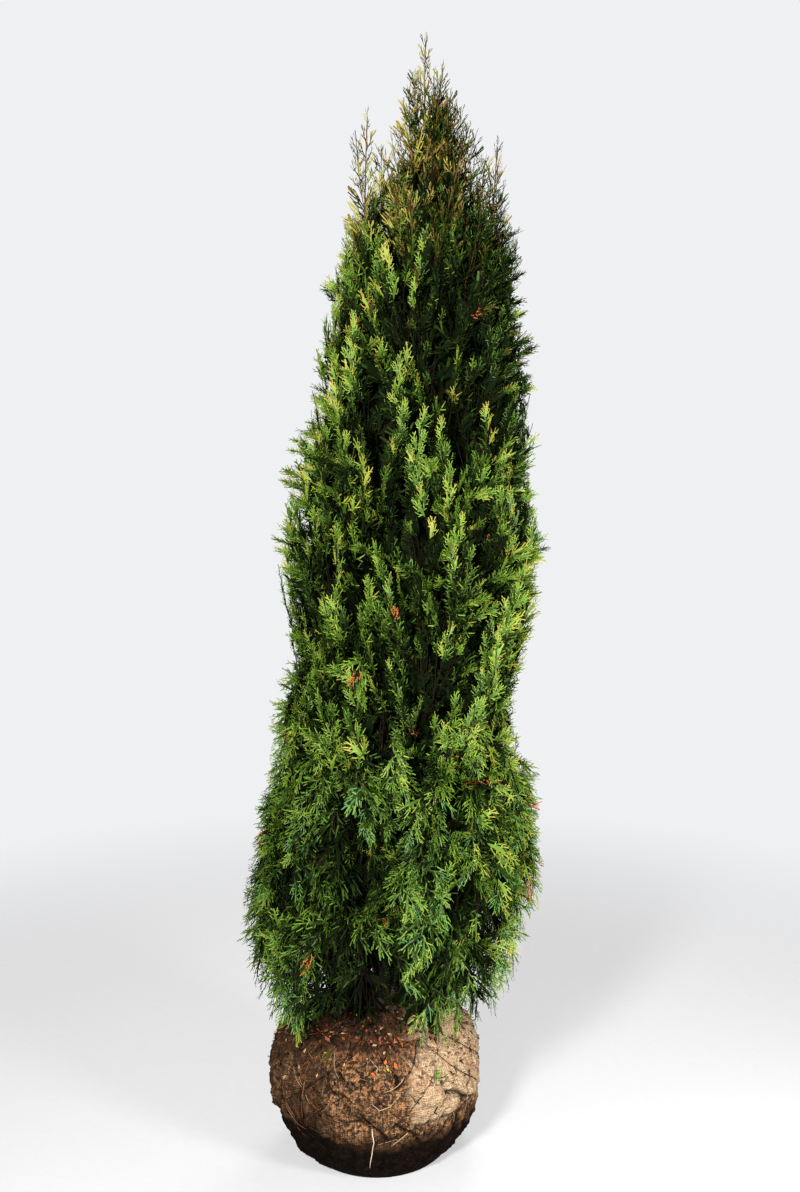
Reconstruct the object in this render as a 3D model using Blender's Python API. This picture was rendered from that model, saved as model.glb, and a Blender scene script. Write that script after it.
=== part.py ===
"""A column thuja with its root ball wrapped in burlap, about 2.7 m tall.

The plant is built the way it grows. One trunk stands on the root ball and runs up through the crown.
Short boughs leave it, and each carries one plume: a mass of foliage round its own stem. A plume owns
the space that lies nearer its own stem than any other plume's, inside the crown's outline. Its solid
is a dense inner core with toothed sprays standing out of it, sunk well in and joined to it.

Units are metres, +Z is up, and the origin is the middle of the root ball's flat underside.
"""

import math
import random

import bmesh
import bpy
from mathutils import Matrix, Quaternion, Vector
from mathutils.bvhtree import BVHTree

# ---------------------------------------------------------------- driving dimensions
CLEARANCE = 0.0003  # between pieces that touch
UP = Vector((0, 0, 1))

BALL_HEIGHT = 0.360
BALL_PROFILE = (  # radius and height, from the flat foot to the seat of the trunk
    (0.175, 0.000), (0.214, 0.030), (0.242, 0.085), (0.258, 0.145), (0.263, 0.205),
    (0.257, 0.262), (0.238, 0.305), (0.196, 0.336), (0.135, 0.352), (0.080, BALL_HEIGHT),
)
BALL_SEGMENTS = 32
BALL_BULGE = 0.009  # how far the cloth swells between the net's wires
NET_COLUMNS = 8
NET_ROWS = 4

TRUNK_TOP = 2.290
TRUNK_RADII = (  # height and radius, with the root flare at the foot
    (BALL_HEIGHT, 0.052), (0.385, 0.038), (0.430, 0.031), (1.000, 0.024), (1.700, 0.014), (TRUNK_TOP, 0.006),
)
FLARE_STATIONS = 3
TRUNK_STATIONS = 7  # above the flare
TRUNK_SIDES = 8

CROWN_LEAN = (  # height and x of the middle line of trunk and crown
    (BALL_HEIGHT, 0.014), (0.390, 0.014), (0.600, 0.030), (1.300, 0.073), (2.000, 0.118),
    (2.350, 0.126), (2.730, 0.116),
)
CROWN_OUTLINE = (  # height, and how far the furthest sprays reach from the middle line
    (0.325, 0.262), (0.400, 0.318), (0.470, 0.345), (0.620, 0.366), (0.800, 0.356), (0.950, 0.326),
    (1.100, 0.298), (1.240, 0.284), (1.420, 0.318), (1.560, 0.320), (1.750, 0.294), (1.950, 0.264),
    (2.150, 0.234), (2.300, 0.188), (2.400, 0.104), (2.540, 0.060), (2.630, 0.036), (2.730, 0.006),
)
SKIRT_HEIGHT = 0.328  # of the lowest drooping tips

TIERS = (  # height of the stems' feet, height of their tips, number of plumes, turn of the first in degrees
    (0.515, 0.790, 6, 4),
    (0.850, 1.150, 5, 40),
    (1.210, 1.500, 5, 2),
    (1.560, 1.840, 4, 42),
    (1.900, 2.180, 4, 6),
)
STEM_FOOT_SHARE = 0.42  # where a stem starts and ends, as a share of the crown's reach there
STEM_TIP_SHARE = 0.66
STEM_SIDES = 6
LEADERS = (  # tips of the spires that the top tier's plumes end in, in their order round the trunk
    Vector((0.287, -0.010, 2.494)), Vector((0.060, 0.090, 2.430)),
    Vector((-0.019, -0.015, 2.559)), Vector((0.205, -0.085, 2.470)),
)
TOP_TIP = Vector((0.116, 0.000, 2.729))
TOP_STEM_SHARE = 0.35  # of the way from the trunk's top to the tip, below the spire
TOP_STEM_RADIUS = 0.0058

BOUGH_DROP = 0.085  # how far below its plume's foot a bough leaves the trunk
BOUGH_TURN = 0.055  # over which it turns up into the stem's line
BOUGH_END = 0.012  # its straight end
BOUGH_RADIUS = 0.0105
BOUGH_TO_TRUNK = 0.62  # its radius is no more than this share of the trunk's
BOUGH_TAPER = 0.12  # lost from station to station
BOUGH_SIDES = 6

CORE_DEPTH = 0.050  # how far a core stays behind the crown's outline
CORE_FLOOR = BALL_HEIGHT + 0.030
CORE_GAP = 0.006  # from a core to the bound of its plume's space
CORE_SEGMENTS = 13  # of the inner crown that the cores are cut from
CORE_LUMP = 0.016  # how unevenly its skin sinks in

TRUNK_ROOM = 0.052  # kept free of foliage round the trunk's middle line
LIMB_ROOM = 0.010  # from a spray to a bough's skin
BALL_ROOM = 0.022  # from a spray to the root ball
SPRAY_GAP = 0.002  # from a spray to the bound of its plume's space
SPRAY_SLACK = 0.012  # how far its teeth may stand out of the crown's outline

SPRAYS_TRIED = 140
SPRAYS_KEPT = 15
SPRAY_LENGTH = 0.165
SPRAY_HALF_WIDTH = 0.375  # of its length, at the widest teeth
SPRAY_THICKNESS = 0.012
SPRAY_OUTLINE = (  # shares of its length and of its half width
    (0.0, 0.0), (0.50, 1.00), (0.58, 0.42), (0.82, 0.68), (1.0, 0.0),
)
SPRAY_THICKEST = 0.54
SPRAY_RISE = 0.170  # how far below its tip a spray's shoot leaves the stem, high in the crown
DROOP_BELOW = 0.560  # lower than this the sprays hang instead
DROOP_SPAN = 0.300
TIPS_BELOW_FOOT = 0.20  # a plume's sprays end this far below its stem's foot
TIPS_ABOVE_TIP = 0.14  # and this far above its tip
PLUME_FAN = math.radians(130)

SPIRE_REACH = 0.062  # of the twigs round a spire, at its foot
SPIRE_RADII = (0.0055, 0.0045, 0.0030)
SPIRE_CREST_SHARE = 0.22  # the upright spray at its end
SPIRE_TWIG_STEP = 0.032
SPIRE_TWIG_LENGTH = 0.100
SPIRE_TWIG_SPREAD = 0.55
SHORTEST_TWIG = 0.030

GOLDEN_TURN = math.radians(137.508)
GOLDEN_SHARE = 0.618
PLASTIC_SHARE = 0.755


# ---------------------------------------------------------------- small helpers
def along(table, height):
    """The value at a height, read from (height, value) points joined by straight lines."""
    for (low, first), (high, second) in zip(table, table[1:]):
        if height <= high:
            share = max(0.0, (height - low) / (high - low))
            return first + (second - first) * share
    return table[-1][1]


def axis_point(height):
    """The crown's and the trunk's middle line."""
    return Vector((along(CROWN_LEAN, height), 0, height))


def crown_reach(height):
    return along(CROWN_OUTLINE, height)


def ball_reach(height):
    return along([(level, radius) for radius, level in BALL_PROFILE], height)


def radial(point):
    """How far a point lies from the middle line, at its own height."""
    return (point - axis_point(point.z)).length


def outward(angle):
    return Vector((math.cos(angle), math.sin(angle), 0))


def onto(point, start, end):
    """The point on a straight run that is nearest to a given one."""
    run = end - start
    return start + run * min(1.0, max(0.0, (point - start).dot(run) / run.length_squared))


def nearest_points(a, b, c, d):
    """The nearest pair of points on two straight runs, a to b and c to d, found by stepping to and fro."""
    on_first, on_second = a.lerp(b, 0.5), c.lerp(d, 0.5)
    for _ in range(60):
        on_first = onto(on_second, a, b)
        on_second = onto(on_first, c, d)
    return on_first, on_second


def clear_scene():
    for item in list(bpy.data.objects):
        bpy.data.objects.remove(item)


def material(name, color, roughness):
    made = bpy.data.materials.new(name)
    made.use_nodes = True
    shader = made.node_tree.nodes["Principled BSDF"]
    shader.inputs["Base Color"].default_value = (*color, 1)
    shader.inputs["Roughness"].default_value = roughness
    shader.inputs["Metallic"].default_value = 0
    return made


def collection(name):
    made = bpy.data.collections.new(name)
    bpy.context.scene.collection.children.link(made)
    return made


def drop_collection(group):
    for item in list(group.objects):
        bpy.data.objects.remove(item)
    bpy.data.collections.remove(group)


def object_from(shape, name, group=None):
    """Puts a bmesh into the scene as a named object whose faces point out."""
    bmesh.ops.recalc_face_normals(shape, faces=shape.faces)
    if shape.calc_volume(signed=True) < 0:
        bmesh.ops.reverse_faces(shape, faces=shape.faces)
    mesh = bpy.data.meshes.new(name)
    shape.to_mesh(mesh)
    shape.free()
    item = bpy.data.objects.new(name, mesh)
    (group or bpy.context.scene.collection).objects.link(item)
    return item


def finish_with(item, finish):
    item.data.materials.clear()
    item.data.materials.append(finish)


def join_or_cut(item, operation, group):
    """Joins a collection's solids to one solid, or cuts them out of it, and applies that."""
    step = item.modifiers.new(operation.lower(), "BOOLEAN")
    step.operation = operation
    step.operand_type = "COLLECTION"
    step.solver = "MANIFOLD"
    step.collection = group
    graph = bpy.context.evaluated_depsgraph_get()
    made = bpy.data.meshes.new_from_object(item.evaluated_get(graph))
    item.modifiers.clear()
    item.data = made


def keep_largest_body(item):
    """Drops loose scraps and the inner skin of any hollow that joining sealed."""
    shape = bmesh.new()
    shape.from_mesh(item.data)
    left, bodies = set(shape.faces), []
    while left:
        body, frontier = set(), [left.pop()]
        while frontier:
            face = frontier.pop()
            body.add(face)
            for edge in face.edges:
                for other in edge.link_faces:
                    if other in left:
                        left.remove(other)
                        frontier.append(other)
        bodies.append(body)
    bodies.sort(key=len)
    scraps = [face for body in bodies[:-1] for face in body]
    bmesh.ops.delete(shape, geom=scraps, context="FACES")
    shape.to_mesh(item.data)
    shape.free()


def turned_shape(profile, segments):
    """A closed profile of (radius, height) points, turned round the Z axis."""
    shape = bmesh.new()
    outline = [shape.verts.new((radius, 0, height)) for radius, height in profile]
    for low, high in zip(outline, outline[1:]):
        shape.edges.new((low, high))
    bmesh.ops.spin(
        shape, geom=shape.verts[:] + shape.edges[:], axis=UP, angle=2 * math.pi,
        steps=segments, use_merge=True,
    )
    bmesh.ops.remove_doubles(shape, verts=shape.verts, dist=1e-5)
    return shape


# ---------------------------------------------------------------- limbs
def station_frames(path):
    """A matrix at each point of a path, whose Z runs along it, turning no more than it has to."""
    frames, turn = [], None
    for i, point in enumerate(path):
        ahead = (path[min(i + 1, len(path) - 1)] - path[max(i - 1, 0)]).normalized()
        if turn is None:
            turn = ahead.to_track_quat("Z", "X")
        else:
            turn = (turn @ UP).rotation_difference(ahead) @ turn
        frames.append(Matrix.Translation(point) @ turn.to_matrix().to_4x4())
    return frames


def limb(path, radii, sides):
    """A tapering limb: a round face pulled from station to station, turned and resized at each."""
    shape = bmesh.new()
    frames = station_frames(path)
    bmesh.ops.create_circle(shape, cap_ends=True, segments=sides, radius=radii[0], matrix=frames[0])
    end = shape.faces[:]
    for i in range(1, len(path)):
        pulled = bmesh.ops.extrude_face_region(shape, geom=end)["geom"]
        if i > 1:
            bmesh.ops.delete(shape, geom=end, context="FACES_ONLY")
        end = [part for part in pulled if isinstance(part, bmesh.types.BMFace)]
        corners = [part for part in pulled if isinstance(part, bmesh.types.BMVert)]
        step = frames[i] @ Matrix.Scale(radii[i] / radii[i - 1], 4) @ frames[i - 1].inverted()
        bmesh.ops.transform(shape, matrix=step, verts=corners)
    return shape


def bend(start, middle, end, steps):
    """Points along a curve that leaves start towards middle and reaches end coming from it."""
    points = []
    for i in range(steps + 1):
        t = i / steps
        points.append(start * (1 - t) ** 2 + middle * 2 * t * (1 - t) + end * t * t)
    return points


def trunk_path():
    heights = [height for height, _ in TRUNK_RADII[:FLARE_STATIONS]]
    rise = (TRUNK_TOP - heights[-1]) / TRUNK_STATIONS
    heights += [heights[-1] + rise * (i + 1) for i in range(TRUNK_STATIONS)]
    return [axis_point(height) for height in heights]


def trunk_shape(extra=0.0):
    """The trunk, or with some extra radius the room it needs."""
    path = trunk_path()
    path[0].z += CLEARANCE
    return limb(path, [along(TRUNK_RADII, point.z) + extra for point in path], TRUNK_SIDES)


# ---------------------------------------------------------------- plumes and the space each owns
class Plume:
    """One mass of foliage: its stem from foot to tip, the bough that carries it, and its own space.

    The space is bounded by a plane towards each other plume, halfway between the two stems where they
    are nearest, and by one that keeps it off the trunk. The top plume stands on the trunk's own end.
    """

    def __init__(self, name, foot, tip, leader, seed):
        self.name = name
        self.foot = foot
        self.tip = tip
        self.leader = leader
        self.chance = random.Random(seed)
        self.direction = (tip - foot).normalized()
        self.middle = foot.lerp(tip, 0.5)
        self.bounds = []  # each a point on a plane and its normal, which points out of the space
        self.bough = []
        self.bough_radii = []

    def end(self):
        return self.leader or self.tip

    def stem_radius(self):
        return self.bough_radii[-1] if self.bough else TOP_STEM_RADIUS

    def within(self, point, gap):
        return all((point - on).dot(out) < -gap for on, out in self.bounds)

    def spire_room(self, point):
        """How far inside the slim space round its spire a point is."""
        if self.leader is None or point.z < self.tip.z:
            return -1.0
        run = self.leader - self.tip
        share = min(1.0, (point - self.tip).dot(run) / run.length_squared)
        return SPIRE_REACH * (1.05 - share) - (point - self.tip - run * share).length


def plan_plumes():
    """The plumes, tier by tier, and the one at the very top."""
    plumes = []
    for tier, (foot_height, tip_height, count, turn) in enumerate(TIERS):
        for k in range(count):
            out = outward(math.radians(turn + 360 * k / count))
            foot = axis_point(foot_height) + out * crown_reach(foot_height) * STEM_FOOT_SHARE
            tip = axis_point(tip_height) + out * crown_reach(tip_height) * STEM_TIP_SHARE
            leader = LEADERS[k] if tier == len(TIERS) - 1 else None
            name = f"foliage_tier{tier + 1}_{'abcdef'[k]}"
            plumes.append(Plume(name, foot, tip, leader, 100 * tier + k))
    foot = trunk_path()[-1] + UP * CLEARANCE
    plumes.append(Plume("foliage_top", foot, foot.lerp(TOP_TIP, TOP_STEM_SHARE), TOP_TIP, 999))
    return plumes


def share_space(plumes):
    """Gives every plume the planes that bound its space."""
    for i, first in enumerate(plumes):
        for second in plumes[i + 1:]:
            near, far = nearest_points(first.foot, first.end(), second.foot, second.end())
            out = (far - near).normalized()
            middle = near.lerp(far, 0.5)
            first.bounds.append((middle, out))
            second.bounds.append((middle, -out))
    for plume in plumes[:-1]:
        inward = axis_point(plume.middle.z) - plume.middle
        inward.normalize()
        plume.bounds.append((axis_point(plume.middle.z) - inward * TRUNK_ROOM, inward))


def plan_bough(plume):
    """A bough leaves the trunk a little below its plume's foot, and turns up into the stem's own line."""
    height = plume.foot.z - BOUGH_DROP
    end = plume.foot - plume.direction * CLEARANCE
    corner = end - plume.direction * BOUGH_TURN
    plume.bough = bend(axis_point(height), corner, end - plume.direction * BOUGH_END, 3) + [end]
    thick = min(BOUGH_RADIUS, BOUGH_TO_TRUNK * along(TRUNK_RADII, height))
    plume.bough_radii = [thick * (1 - BOUGH_TAPER * i) for i in range(len(plume.bough))]


def clear_of_limbs(point, plumes):
    if radial(point) > STEM_TIP_SHARE * crown_reach(point.z):
        return True
    if point.z < TRUNK_TOP and radial(point) < TRUNK_ROOM:
        return False
    for plume in plumes:
        for radius, start, end in zip(plume.bough_radii, plume.bough, plume.bough[1:]):
            if (point - onto(point, start, end)).length < radius + LIMB_ROOM:
                return False
    return True


def in_space(point, own, plumes, slack=0.0):
    """Whether a point keeps to its plume's space: within its bounds and the outline, and off the limbs."""
    if point.z < BALL_HEIGHT + BALL_ROOM and point.to_2d().length < ball_reach(point.z) + BALL_ROOM:
        return False
    room = crown_reach(point.z) - radial(point)
    if not SKIRT_HEIGHT < point.z < TOP_TIP.z:
        room = -1.0
    if max(room, own.spire_room(point)) < -slack:
        return False
    return own.within(point, SPRAY_GAP) and clear_of_limbs(point, plumes)


def reach_from(start, direction, own, plumes, most):
    """How far a straight twig can grow, up to a length, before it would leave its plume's space."""
    step, far = 0.008, 0.0
    while far + step < most and in_space(start + direction * (far + step), own, plumes):
        far += step
    return far


# ---------------------------------------------------------------- foliage
class Spray:
    """A toothed blade: where its root is, which way it points and faces, and its length."""

    def __init__(self, root, direction, face, length, half_width):
        self.root = root
        self.ahead = direction
        self.side = direction.cross(face).normalized()
        self.face = self.side.cross(direction).normalized()
        self.length = length
        self.half_width = half_width

    def point(self, run, half):
        """A point of the blade, by its share of the length and of the half width."""
        return self.root + self.ahead * self.length * run + self.side * self.half_width * half

    def stays(self, own, plumes):
        """Whether its teeth and tip all keep to the plume's space."""
        corners = SPRAY_OUTLINE[1:] + ((0.25, 0.50), (0.91, 0.34))
        ends = [self.point(run, half * sign) for run, half in corners for sign in (-1, 1)]
        return all(in_space(end, own, plumes, SPRAY_SLACK) for end in ends)

    def shape(self):
        """Two flat cones of triangles, rim to rim, whose rim is drawn out into the blade's teeth."""
        rim = [(run, -half) for run, half in SPRAY_OUTLINE]
        rim += [(run, half) for run, half in SPRAY_OUTLINE[-2:0:-1]]
        made = bmesh.new()
        bmesh.ops.create_cone(
            made, cap_ends=True, cap_tris=True, segments=len(rim), radius1=1, radius2=0, depth=2
        )
        corners = [v for v in made.verts if v.co.to_2d().length > 0.5]
        for v in set(made.verts) - set(corners):
            v.co = self.point(SPRAY_THICKEST, 0) + self.face * math.copysign(SPRAY_THICKNESS / 2, v.co.z)
        corners.sort(key=lambda v: math.atan2(v.co.y, v.co.x))
        for v, (run, half) in zip(corners, rim):
            v.co = self.point(run, half)
        return made


def crown_sprays(plume):
    """Sprays over the plume's outer face, their tips spread evenly on the crown's outline.

    Each is the end of a shoot that leaves the stem lower down, so it points out and up, or low in the
    crown leaves it higher up and hangs.
    """
    made = []
    away = plume.middle - axis_point(plume.middle.z)
    lowest = plume.foot.z - TIPS_BELOW_FOOT
    span = plume.tip.z + TIPS_ABOVE_TIP - lowest
    for i in range(SPRAYS_TRIED):
        height = lowest + span * ((i * GOLDEN_SHARE) % 1)
        out = outward(math.atan2(away.y, away.x) + PLUME_FAN * ((i * PLASTIC_SHARE) % 1 - 0.5))
        tip = axis_point(height) + out * crown_reach(height) * plume.chance.uniform(0.93, 0.995)
        start_height = height - SPRAY_RISE * max(-1, min(1, (height - DROOP_BELOW) / DROOP_SPAN))
        share = (start_height - plume.foot.z) / (plume.tip.z - plume.foot.z)
        start = plume.foot.lerp(plume.tip, min(0.9, max(0.05, share)))
        start.z = start_height
        shoot = tip - start
        length = min(SPRAY_LENGTH * plume.chance.uniform(0.88, 1.12), shoot.length)
        direction = shoot.normalized()
        face = out.cross(direction).cross(direction)
        face = Quaternion(direction, plume.chance.uniform(-1.1, 1.1)) @ face
        made.append(Spray(tip - direction * length, direction, face, length, SPRAY_HALF_WIDTH * length))
    return made


def spire_shapes(plume, plumes):
    """The leading shoot: a slim stem with short twigs, each a spray, and an upright one at its end."""
    crest = plume.leader.lerp(plume.tip, SPIRE_CREST_SHARE)
    shapes = [limb([plume.middle, plume.tip, crest], SPIRE_RADII, STEM_SIDES)]
    run = crest - plume.tip
    ahead = run.normalized()
    first = ahead.orthogonal().normalized()
    second = ahead.cross(first)
    count = int(run.length / SPIRE_TWIG_STEP)
    for i in range(count):
        out = first * math.cos(i * GOLDEN_TURN) + second * math.sin(i * GOLDEN_TURN)
        direction = (out * SPIRE_TWIG_SPREAD + ahead).normalized()
        start = plume.tip + run * i / count
        length = reach_from(start, direction, plume, plumes, SPIRE_TWIG_LENGTH)
        if length > SHORTEST_TWIG:
            shapes.append(Spray(start, direction, direction.cross(out), length, 0.3 * length).shape())
    sunk = SPRAY_THICKNESS * ahead
    length = (plume.leader - crest + sunk).length
    shapes.append(Spray(crest - sunk, ahead, first, length, SPRAY_THICKNESS).shape())
    return shapes


def inner_crown():
    """The crown's outline drawn in by the cores' depth and turned, with an uneven skin."""
    heights = [height for height, reach in CROWN_OUTLINE if reach > 1.5 * CORE_DEPTH]
    heights[0] = CORE_FLOOR
    profile = [(0.0, CORE_FLOOR)]
    profile += [(crown_reach(height) - CORE_DEPTH, height) for height in heights]
    profile += [(0.0, heights[-1] + CORE_DEPTH)]
    shape = turned_shape(profile, CORE_SEGMENTS)
    chance = random.Random(7)
    for v in shape.verts:
        out = Vector((v.co.x, v.co.y, 0))
        if out.length > CORE_DEPTH:
            v.co -= out.normalized() * CORE_LUMP * chance.random()
        v.co.x += along(CROWN_LEAN, v.co.z)
    return shape


def core_shape(plume):
    """A plume's dense core: the part of the inner crown on its own side of every bound."""
    shape = inner_crown()
    for on, out in plume.bounds:
        cut = bmesh.ops.bisect_plane(
            shape, geom=shape.verts[:] + shape.edges[:] + shape.faces[:],
            plane_co=on - out * CORE_GAP, plane_no=out, clear_outer=True,
        )["geom_cut"]
        rim = [part for part in cut if isinstance(part, bmesh.types.BMEdge)]
        if rim:
            bmesh.ops.holes_fill(shape, edges=rim)
    return shape


def build_foliage(plume, plumes, clearances, finish):
    """Joins a plume's stem, core, spire and sprays into one solid, cut clear of the limbs."""
    radius = plume.stem_radius()
    stem = limb([plume.foot, plume.middle], [radius, 0.8 * radius], STEM_SIDES)
    body = object_from(stem, plume.name)
    shapes = [core_shape(plume)]
    if plume.leader:
        shapes += spire_shapes(plume, plumes)
    kept = []
    for spray in crown_sprays(plume):
        if len(kept) == SPRAYS_KEPT:
            break
        if spray.stays(plume, plumes):
            shape = spray.shape()
            skin = BVHTree.FromBMesh(shape)
            if not any(skin.overlap(other) for other in kept):
                shapes.append(shape)
                kept.append(skin)
    parts = collection(plume.name + " parts")
    for i, shape in enumerate(shapes):
        object_from(shape, f"{plume.name} part {i}", parts)
    join_or_cut(body, "UNION", parts)
    drop_collection(parts)
    join_or_cut(body, "DIFFERENCE", clearances)
    keep_largest_body(body)
    finish_with(body, finish)


# ---------------------------------------------------------------- root ball
def net_swell(angle, height):
    """0 along the net's wires and 1 in the middle of each diamond between them."""
    across = angle / (2 * math.pi) * NET_COLUMNS
    up = height / BALL_HEIGHT * NET_ROWS
    return abs(math.sin(math.pi * (across + up / 2)) * math.sin(math.pi * (across - up / 2)))


def build_root_ball(finish):
    """The ball: a turned profile that swells between the wires of its net and is a little lumpy."""
    foot_radius = BALL_PROFILE[0][0]
    profile = [(0.0, 0.0), (0.5 * foot_radius, 0.0), *BALL_PROFILE, (0.0, BALL_HEIGHT)]
    shape = turned_shape(profile, BALL_SEGMENTS)
    for v in shape.verts:
        around = math.atan2(v.co.y, v.co.x)
        free = min(1.0, v.co.z / 0.03) * min(1.0, max(0.0, (BALL_HEIGHT - v.co.z) / 0.02))
        lump = 0.006 * math.sin(2 * around + 0.7) + 0.005 * math.sin(3 * around + 20 * v.co.z)
        v.co += outward(around) * (BALL_BULGE * net_swell(around, v.co.z) + lump) * free
    ball = object_from(shape, "root_ball")
    ball.data.shade_smooth()
    finish_with(ball, finish)


# ---------------------------------------------------------------- the whole plant
def build_limbs(plumes, finish):
    """Trunk and boughs, each bough cut clear of the trunk. Returns the room that foliage leaves them."""
    trunk = object_from(trunk_shape(), "trunk")
    finish_with(trunk, finish)
    clearances = collection("clearances")
    object_from(trunk_shape(CLEARANCE), "trunk clearance", clearances)
    for plume in plumes:
        name = plume.name.replace("foliage", "bough")
        bough = object_from(limb(plume.bough, plume.bough_radii, BOUGH_SIDES), name)
        join_or_cut(bough, "DIFFERENCE", clearances)
        finish_with(bough, finish)
    for plume in plumes:
        path = plume.bough[:-1] + [plume.foot]
        radii = [radius + CLEARANCE for radius in plume.bough_radii]
        object_from(limb(path, radii, BOUGH_SIDES), plume.name + " clearance", clearances)
    return clearances


def build():
    clear_scene()
    bark = material("bark", (0.17, 0.10, 0.06), 0.85)
    green = material("foliage", (0.10, 0.22, 0.04), 0.65)
    burlap = material("burlap", (0.42, 0.29, 0.15), 0.95)

    plumes = plan_plumes()
    share_space(plumes)
    on_boughs = plumes[:-1]
    for plume in on_boughs:
        plan_bough(plume)

    build_root_ball(burlap)
    clearances = build_limbs(on_boughs, bark)
    for plume in plumes:
        build_foliage(plume, plumes, clearances, green)
    drop_collection(clearances)


build()
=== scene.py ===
# %% [markdown]
# # A column thuja on its burlapped root ball
# This lesson dresses a plain solid model of a nursery plant: a thuja about 2.7 m tall that grows as a
# slim column with several leading shoots, dug up with its roots and the soil round them, and wrapped in
# burlap under a net of thin wire. The solids give every part its place. Here each mass of foliage gets
# real twigs and flat sprays, the wood gets bark, and the ball gets cloth, wire and litter.
# Everything is in metres, with +Z up and the origin under the middle of the ball.

# %% Load the frame
import math
import random

import bmesh
import bpy
import numpy as np
from mathutils import Matrix, Quaternion, Vector, noise


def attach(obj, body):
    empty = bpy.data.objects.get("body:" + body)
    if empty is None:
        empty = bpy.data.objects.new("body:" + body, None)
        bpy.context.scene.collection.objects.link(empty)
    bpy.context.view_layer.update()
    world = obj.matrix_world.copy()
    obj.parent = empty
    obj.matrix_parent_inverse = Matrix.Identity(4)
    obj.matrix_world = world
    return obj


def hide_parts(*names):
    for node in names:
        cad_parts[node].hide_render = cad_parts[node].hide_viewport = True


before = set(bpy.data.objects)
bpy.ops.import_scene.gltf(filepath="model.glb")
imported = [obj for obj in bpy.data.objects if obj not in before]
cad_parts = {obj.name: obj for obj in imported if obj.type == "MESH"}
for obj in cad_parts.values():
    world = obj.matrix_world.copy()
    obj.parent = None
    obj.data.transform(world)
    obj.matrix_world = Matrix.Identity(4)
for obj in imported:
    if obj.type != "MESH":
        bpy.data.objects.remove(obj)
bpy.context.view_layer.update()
UP = Vector((0, 0, 1))
scene = bpy.context.scene

# %% [markdown]
# ## The camera
# A tall, slim plant is best seen whole from a few steps away, at chest height, with a normal lens. The
# focal length comes from how many picture heights away the plant stands, so no shift is needed.

# %% Camera
PICTURE_HEIGHT = 1192  # pixels
FOCAL_PIXELS = 1212
SENSOR = 36  # millimetres
CAMERA_PLACE = (0.057, -2.96, 1.719)
LOOKS_DOWN = 6.04  # degrees below level
camera_data = bpy.data.cameras.new("camera")
camera_data.sensor_width = SENSOR
camera_data.lens = SENSOR * FOCAL_PIXELS / PICTURE_HEIGHT
camera = bpy.data.objects.new("camera", camera_data)
camera.location = CAMERA_PLACE
camera.rotation_euler = (math.radians(90 - LOOKS_DOWN), 0, 0)
scene.collection.objects.link(camera)
scene.camera = camera
print("lens", round(camera_data.lens, 1), "mm")

# %% [markdown]
# ## Shader maths as plain expressions
# A procedural finish is a small formula. Written node by node it is hard to read, so `Value` wraps a
# socket and lets it be added, multiplied and so on, and each operation adds its Math node. `Finish`
# makes a material and has one method that adds any other node.

# %% Arithmetic on sockets
class Value:
    """One output socket of a finish, which can be used in arithmetic."""

    def __init__(self, finish, socket):
        self.finish, self.socket = finish, socket

    def math(self, operation, *values):
        return self.finish.node("ShaderNodeMath", {"operation": operation}, dict(enumerate(values)))

    def __add__(self, other):
        return self.math("ADD", self, other)

    def __sub__(self, other):
        return self.math("SUBTRACT", self, other)

    def __rsub__(self, other):
        return self.math("SUBTRACT", other, self)

    def __mul__(self, other):
        return self.math("MULTIPLY", self, other)

    __radd__ = __add__
    __rmul__ = __mul__

    def sine(self):
        return self.math("SINE", self)

    def between(self, low, high):
        """0 below low, 1 above high and smooth in between."""
        return self.finish.node(
            "ShaderNodeMapRange", {"interpolation_type": "SMOOTHSTEP", "clamp": True},
            {"Value": self, "From Min": low, "From Max": high},
        )


print("sockets can be added, taken away and multiplied")

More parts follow.
